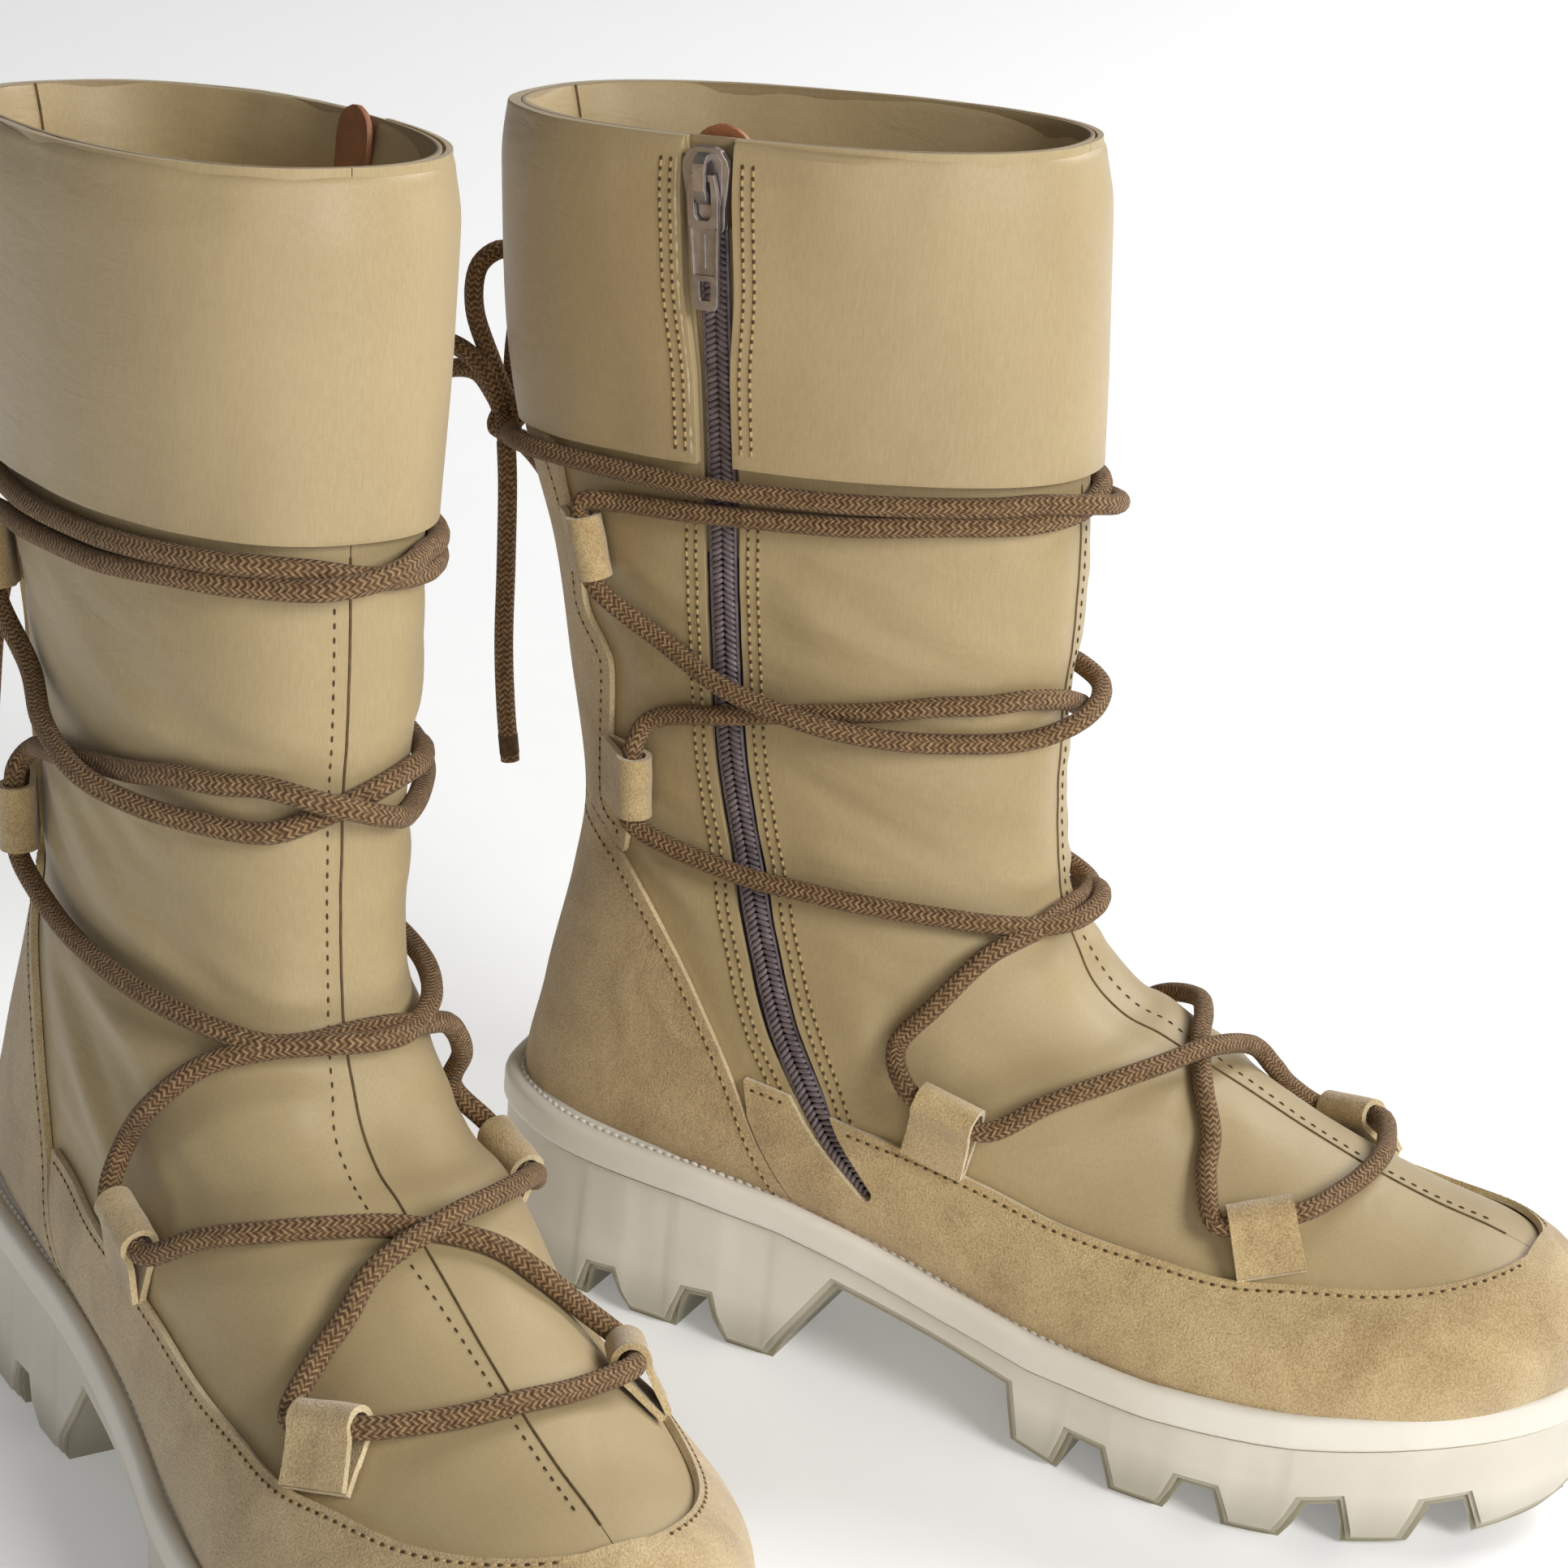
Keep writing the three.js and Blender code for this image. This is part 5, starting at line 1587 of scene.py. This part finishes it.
def cutter(verts, faces):
    mesh = bpy.data.meshes.new("cutter")
    mesh.from_pydata([tuple(v) for v in verts], [], faces)
    obj = bpy.data.objects.new("cutter", mesh)
    bpy.context.scene.collection.objects.link(obj)
    return obj


def intersect(first, second):
    """The common part of two closed forms, as vertices and faces; both objects are removed."""
    cut = first.modifiers.new("cut", "BOOLEAN")
    cut.operation = "INTERSECT"
    cut.solver = "EXACT"
    cut.object = second
    graph = bpy.context.evaluated_depsgraph_get()
    mesh = bpy.data.meshes.new_from_object(first.evaluated_get(graph))
    verts = np.array([v.co for v in mesh.vertices])
    faces = [tuple(p.vertices) for p in mesh.polygons]
    bpy.data.objects.remove(first)
    bpy.data.objects.remove(second)
    bpy.data.meshes.remove(mesh)
    return verts, faces


def shrunk_tread(amount):
    """The tread's side view with its rubber worn back by an amount."""
    line = np.array(TREAD, float)
    normal = to_left(unit(np.diff(line, axis=0)))
    before = np.concatenate([normal[:1], normal])
    after = np.concatenate([normal, normal[-1:]])
    middle = unit(before + after)
    reach = amount / np.clip(np.sum(middle * before, 1, keepdims=True), 0.5, 1)
    return [tuple(p) for p in line + middle * reach]


def tread_part(worn, inset):
    """Outsole cut from its side view and its plan, with lugs that narrow towards the ground."""
    top = [(x, z - WELT_BAND - 0.6) for x, z in FEATHER][::-1]
    side = cutter(*side_slab(shrunk_tread(worn) + top, 70))
    plan = cutter(*slab([tuple(p) for p in plan_outline(SOLE_INSET + inset)], -5, 60))
    verts, faces = intersect(side, plan)
    drop = np.clip((LUG_TIP - verts[:, 2]) / LUG_TIP, 0, 1)
    verts[:, 0] -= drop * 1.4 * np.clip((verts[:, 0] - SOLE_MIDDLE) / 60, -1, 1)
    verts[:, 1] -= drop * 1.7 * np.clip(verts[:, 1] / 18, -1, 1)
    return verts, faces


def add_outsole(mats):
    """The sole's wall, and within it the clearer rubber that shows round the lugs' edges."""
    for name, worn, inset, finish in (("outsole", 2.7, 0, "sole"),
                                      ("outsole_step", 1.4, 0.8, "sole_step"),
                                      ("outsole_tread", 0, 1.7, "sole_tip")):
        verts, faces = tread_part(worn, inset)
        made = make_pair(name, verts, faces, mats[finish], replaces=["outsole"],
                         slot="sole_rubber")
        round_edges(made, 0.5, 2, 28)
        for obj in made:
            obj.modifiers.new("normals", "WEIGHTED_NORMAL")


def ring_sweep(profile):
    """A profile of (inset, height over the feather line) carried round the sole's outline."""
    rings = []
    outer = plan_outline(0)
    height = feather_height(outer[:, 0])
    for inset, rise in profile:
        ring = plan_outline(inset)
        rings.append(np.concatenate([ring, (height + rise)[:, None]], 1))
    points = np.array(rings).reshape(-1, 3)
    columns = len(outer)
    faces = [tuple(reversed(f)) for f in grid_faces(len(profile), columns, True)]
    last = (len(profile) - 1) * columns
    for c in range(columns):
        d = (c + 1) % columns
        faces.append((c, d, last + d, last + c))
    return points, faces


def add_welt(mats):
    profile = [(14, -0.5), (6.6, -0.5), (5.9, -0.3), (5.4, -0.6), (5.1, -1.1), (3.6, -1.1),
               (3.2, -0.7), (2.8, -0.45), (2.1, -0.3), (1.3, -0.4), (0.7, -0.75), (0.25, -1.3),
               (0.02, -2.1), (0, -3), (0, -6.6), (0.05, -7.6), (0.35, -8.3), (1.0, -8.7),
               (14, -8.8)]
    points, faces = ring_sweep(profile)
    made = make_pair("welt", points, faces, mats["welt"], replaces=["welt"], slot="welt_rubber")
    fix_normals(made)
    split_edges(made, 50)
    ring = plan_outline(WELT_ROW_INSET, 300)
    ring = np.concatenate([ring, ring[:1]])
    edge = plan_outline(0, 300)[:, 0]
    height = feather_height(np.append(edge, edge[0]))
    line = np.concatenate([ring, (height - 0.95)[:, None]], 1)
    normals = np.tile((0.0, 0, 1), (len(line), 1))
    verts, faces = dashes(line, normals, 2.5, (1.08, 0.55, 0.6))
    make_pair("welt_stitches", verts, faces, mats["welt"], slot="welt_rubber")


def finish_kept_nodes(mats):
    """CAD pieces whose own shape is right: the insole board and the footbed."""
    for side in SIDES:
        for node, finish in (("insole_board", "board"), ("footbed", "felt")):
            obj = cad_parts[f"{side}_{node}"]
            obj.data.materials.clear()
            obj.data.materials.append(mats[finish])


def build():
    add_camera()
    mats = make_materials()
    line = add_lace(mats)
    add_free_cord("bow_up", BOW_UP, mats, "lace_bow")
    add_free_cord("bow_side", BOW_SIDE, mats, "lace_bow")
    add_free_cord("tail_inner", TAIL_INNER, mats, "lace_tail_inner")
    add_free_cord("tail_outer", TAIL_OUTER, mats, "lace_tail_outer")
    add_knot(mats)
    add_tips(mats)
    tree = kdtree.KDTree(len(line))
    for i, p in enumerate(line):
        tree.insert(Vector(p), i)
    tree.balance()
    add_nylon(mats, tree)
    add_lining(mats)
    add_stiffener(mats)
    add_suede(mats)
    add_cuff(mats)
    add_binding(mats)
    add_stitches(mats, tree)
    add_seams(mats, tree)
    add_loops(mats)
    add_zip(mats)
    add_slider(mats)
    add_tab(mats)
    add_garage(mats)
    add_outsole(mats)
    add_welt(mats)
    finish_kept_nodes(mats)
    add_floor()
    add_studio()


build()
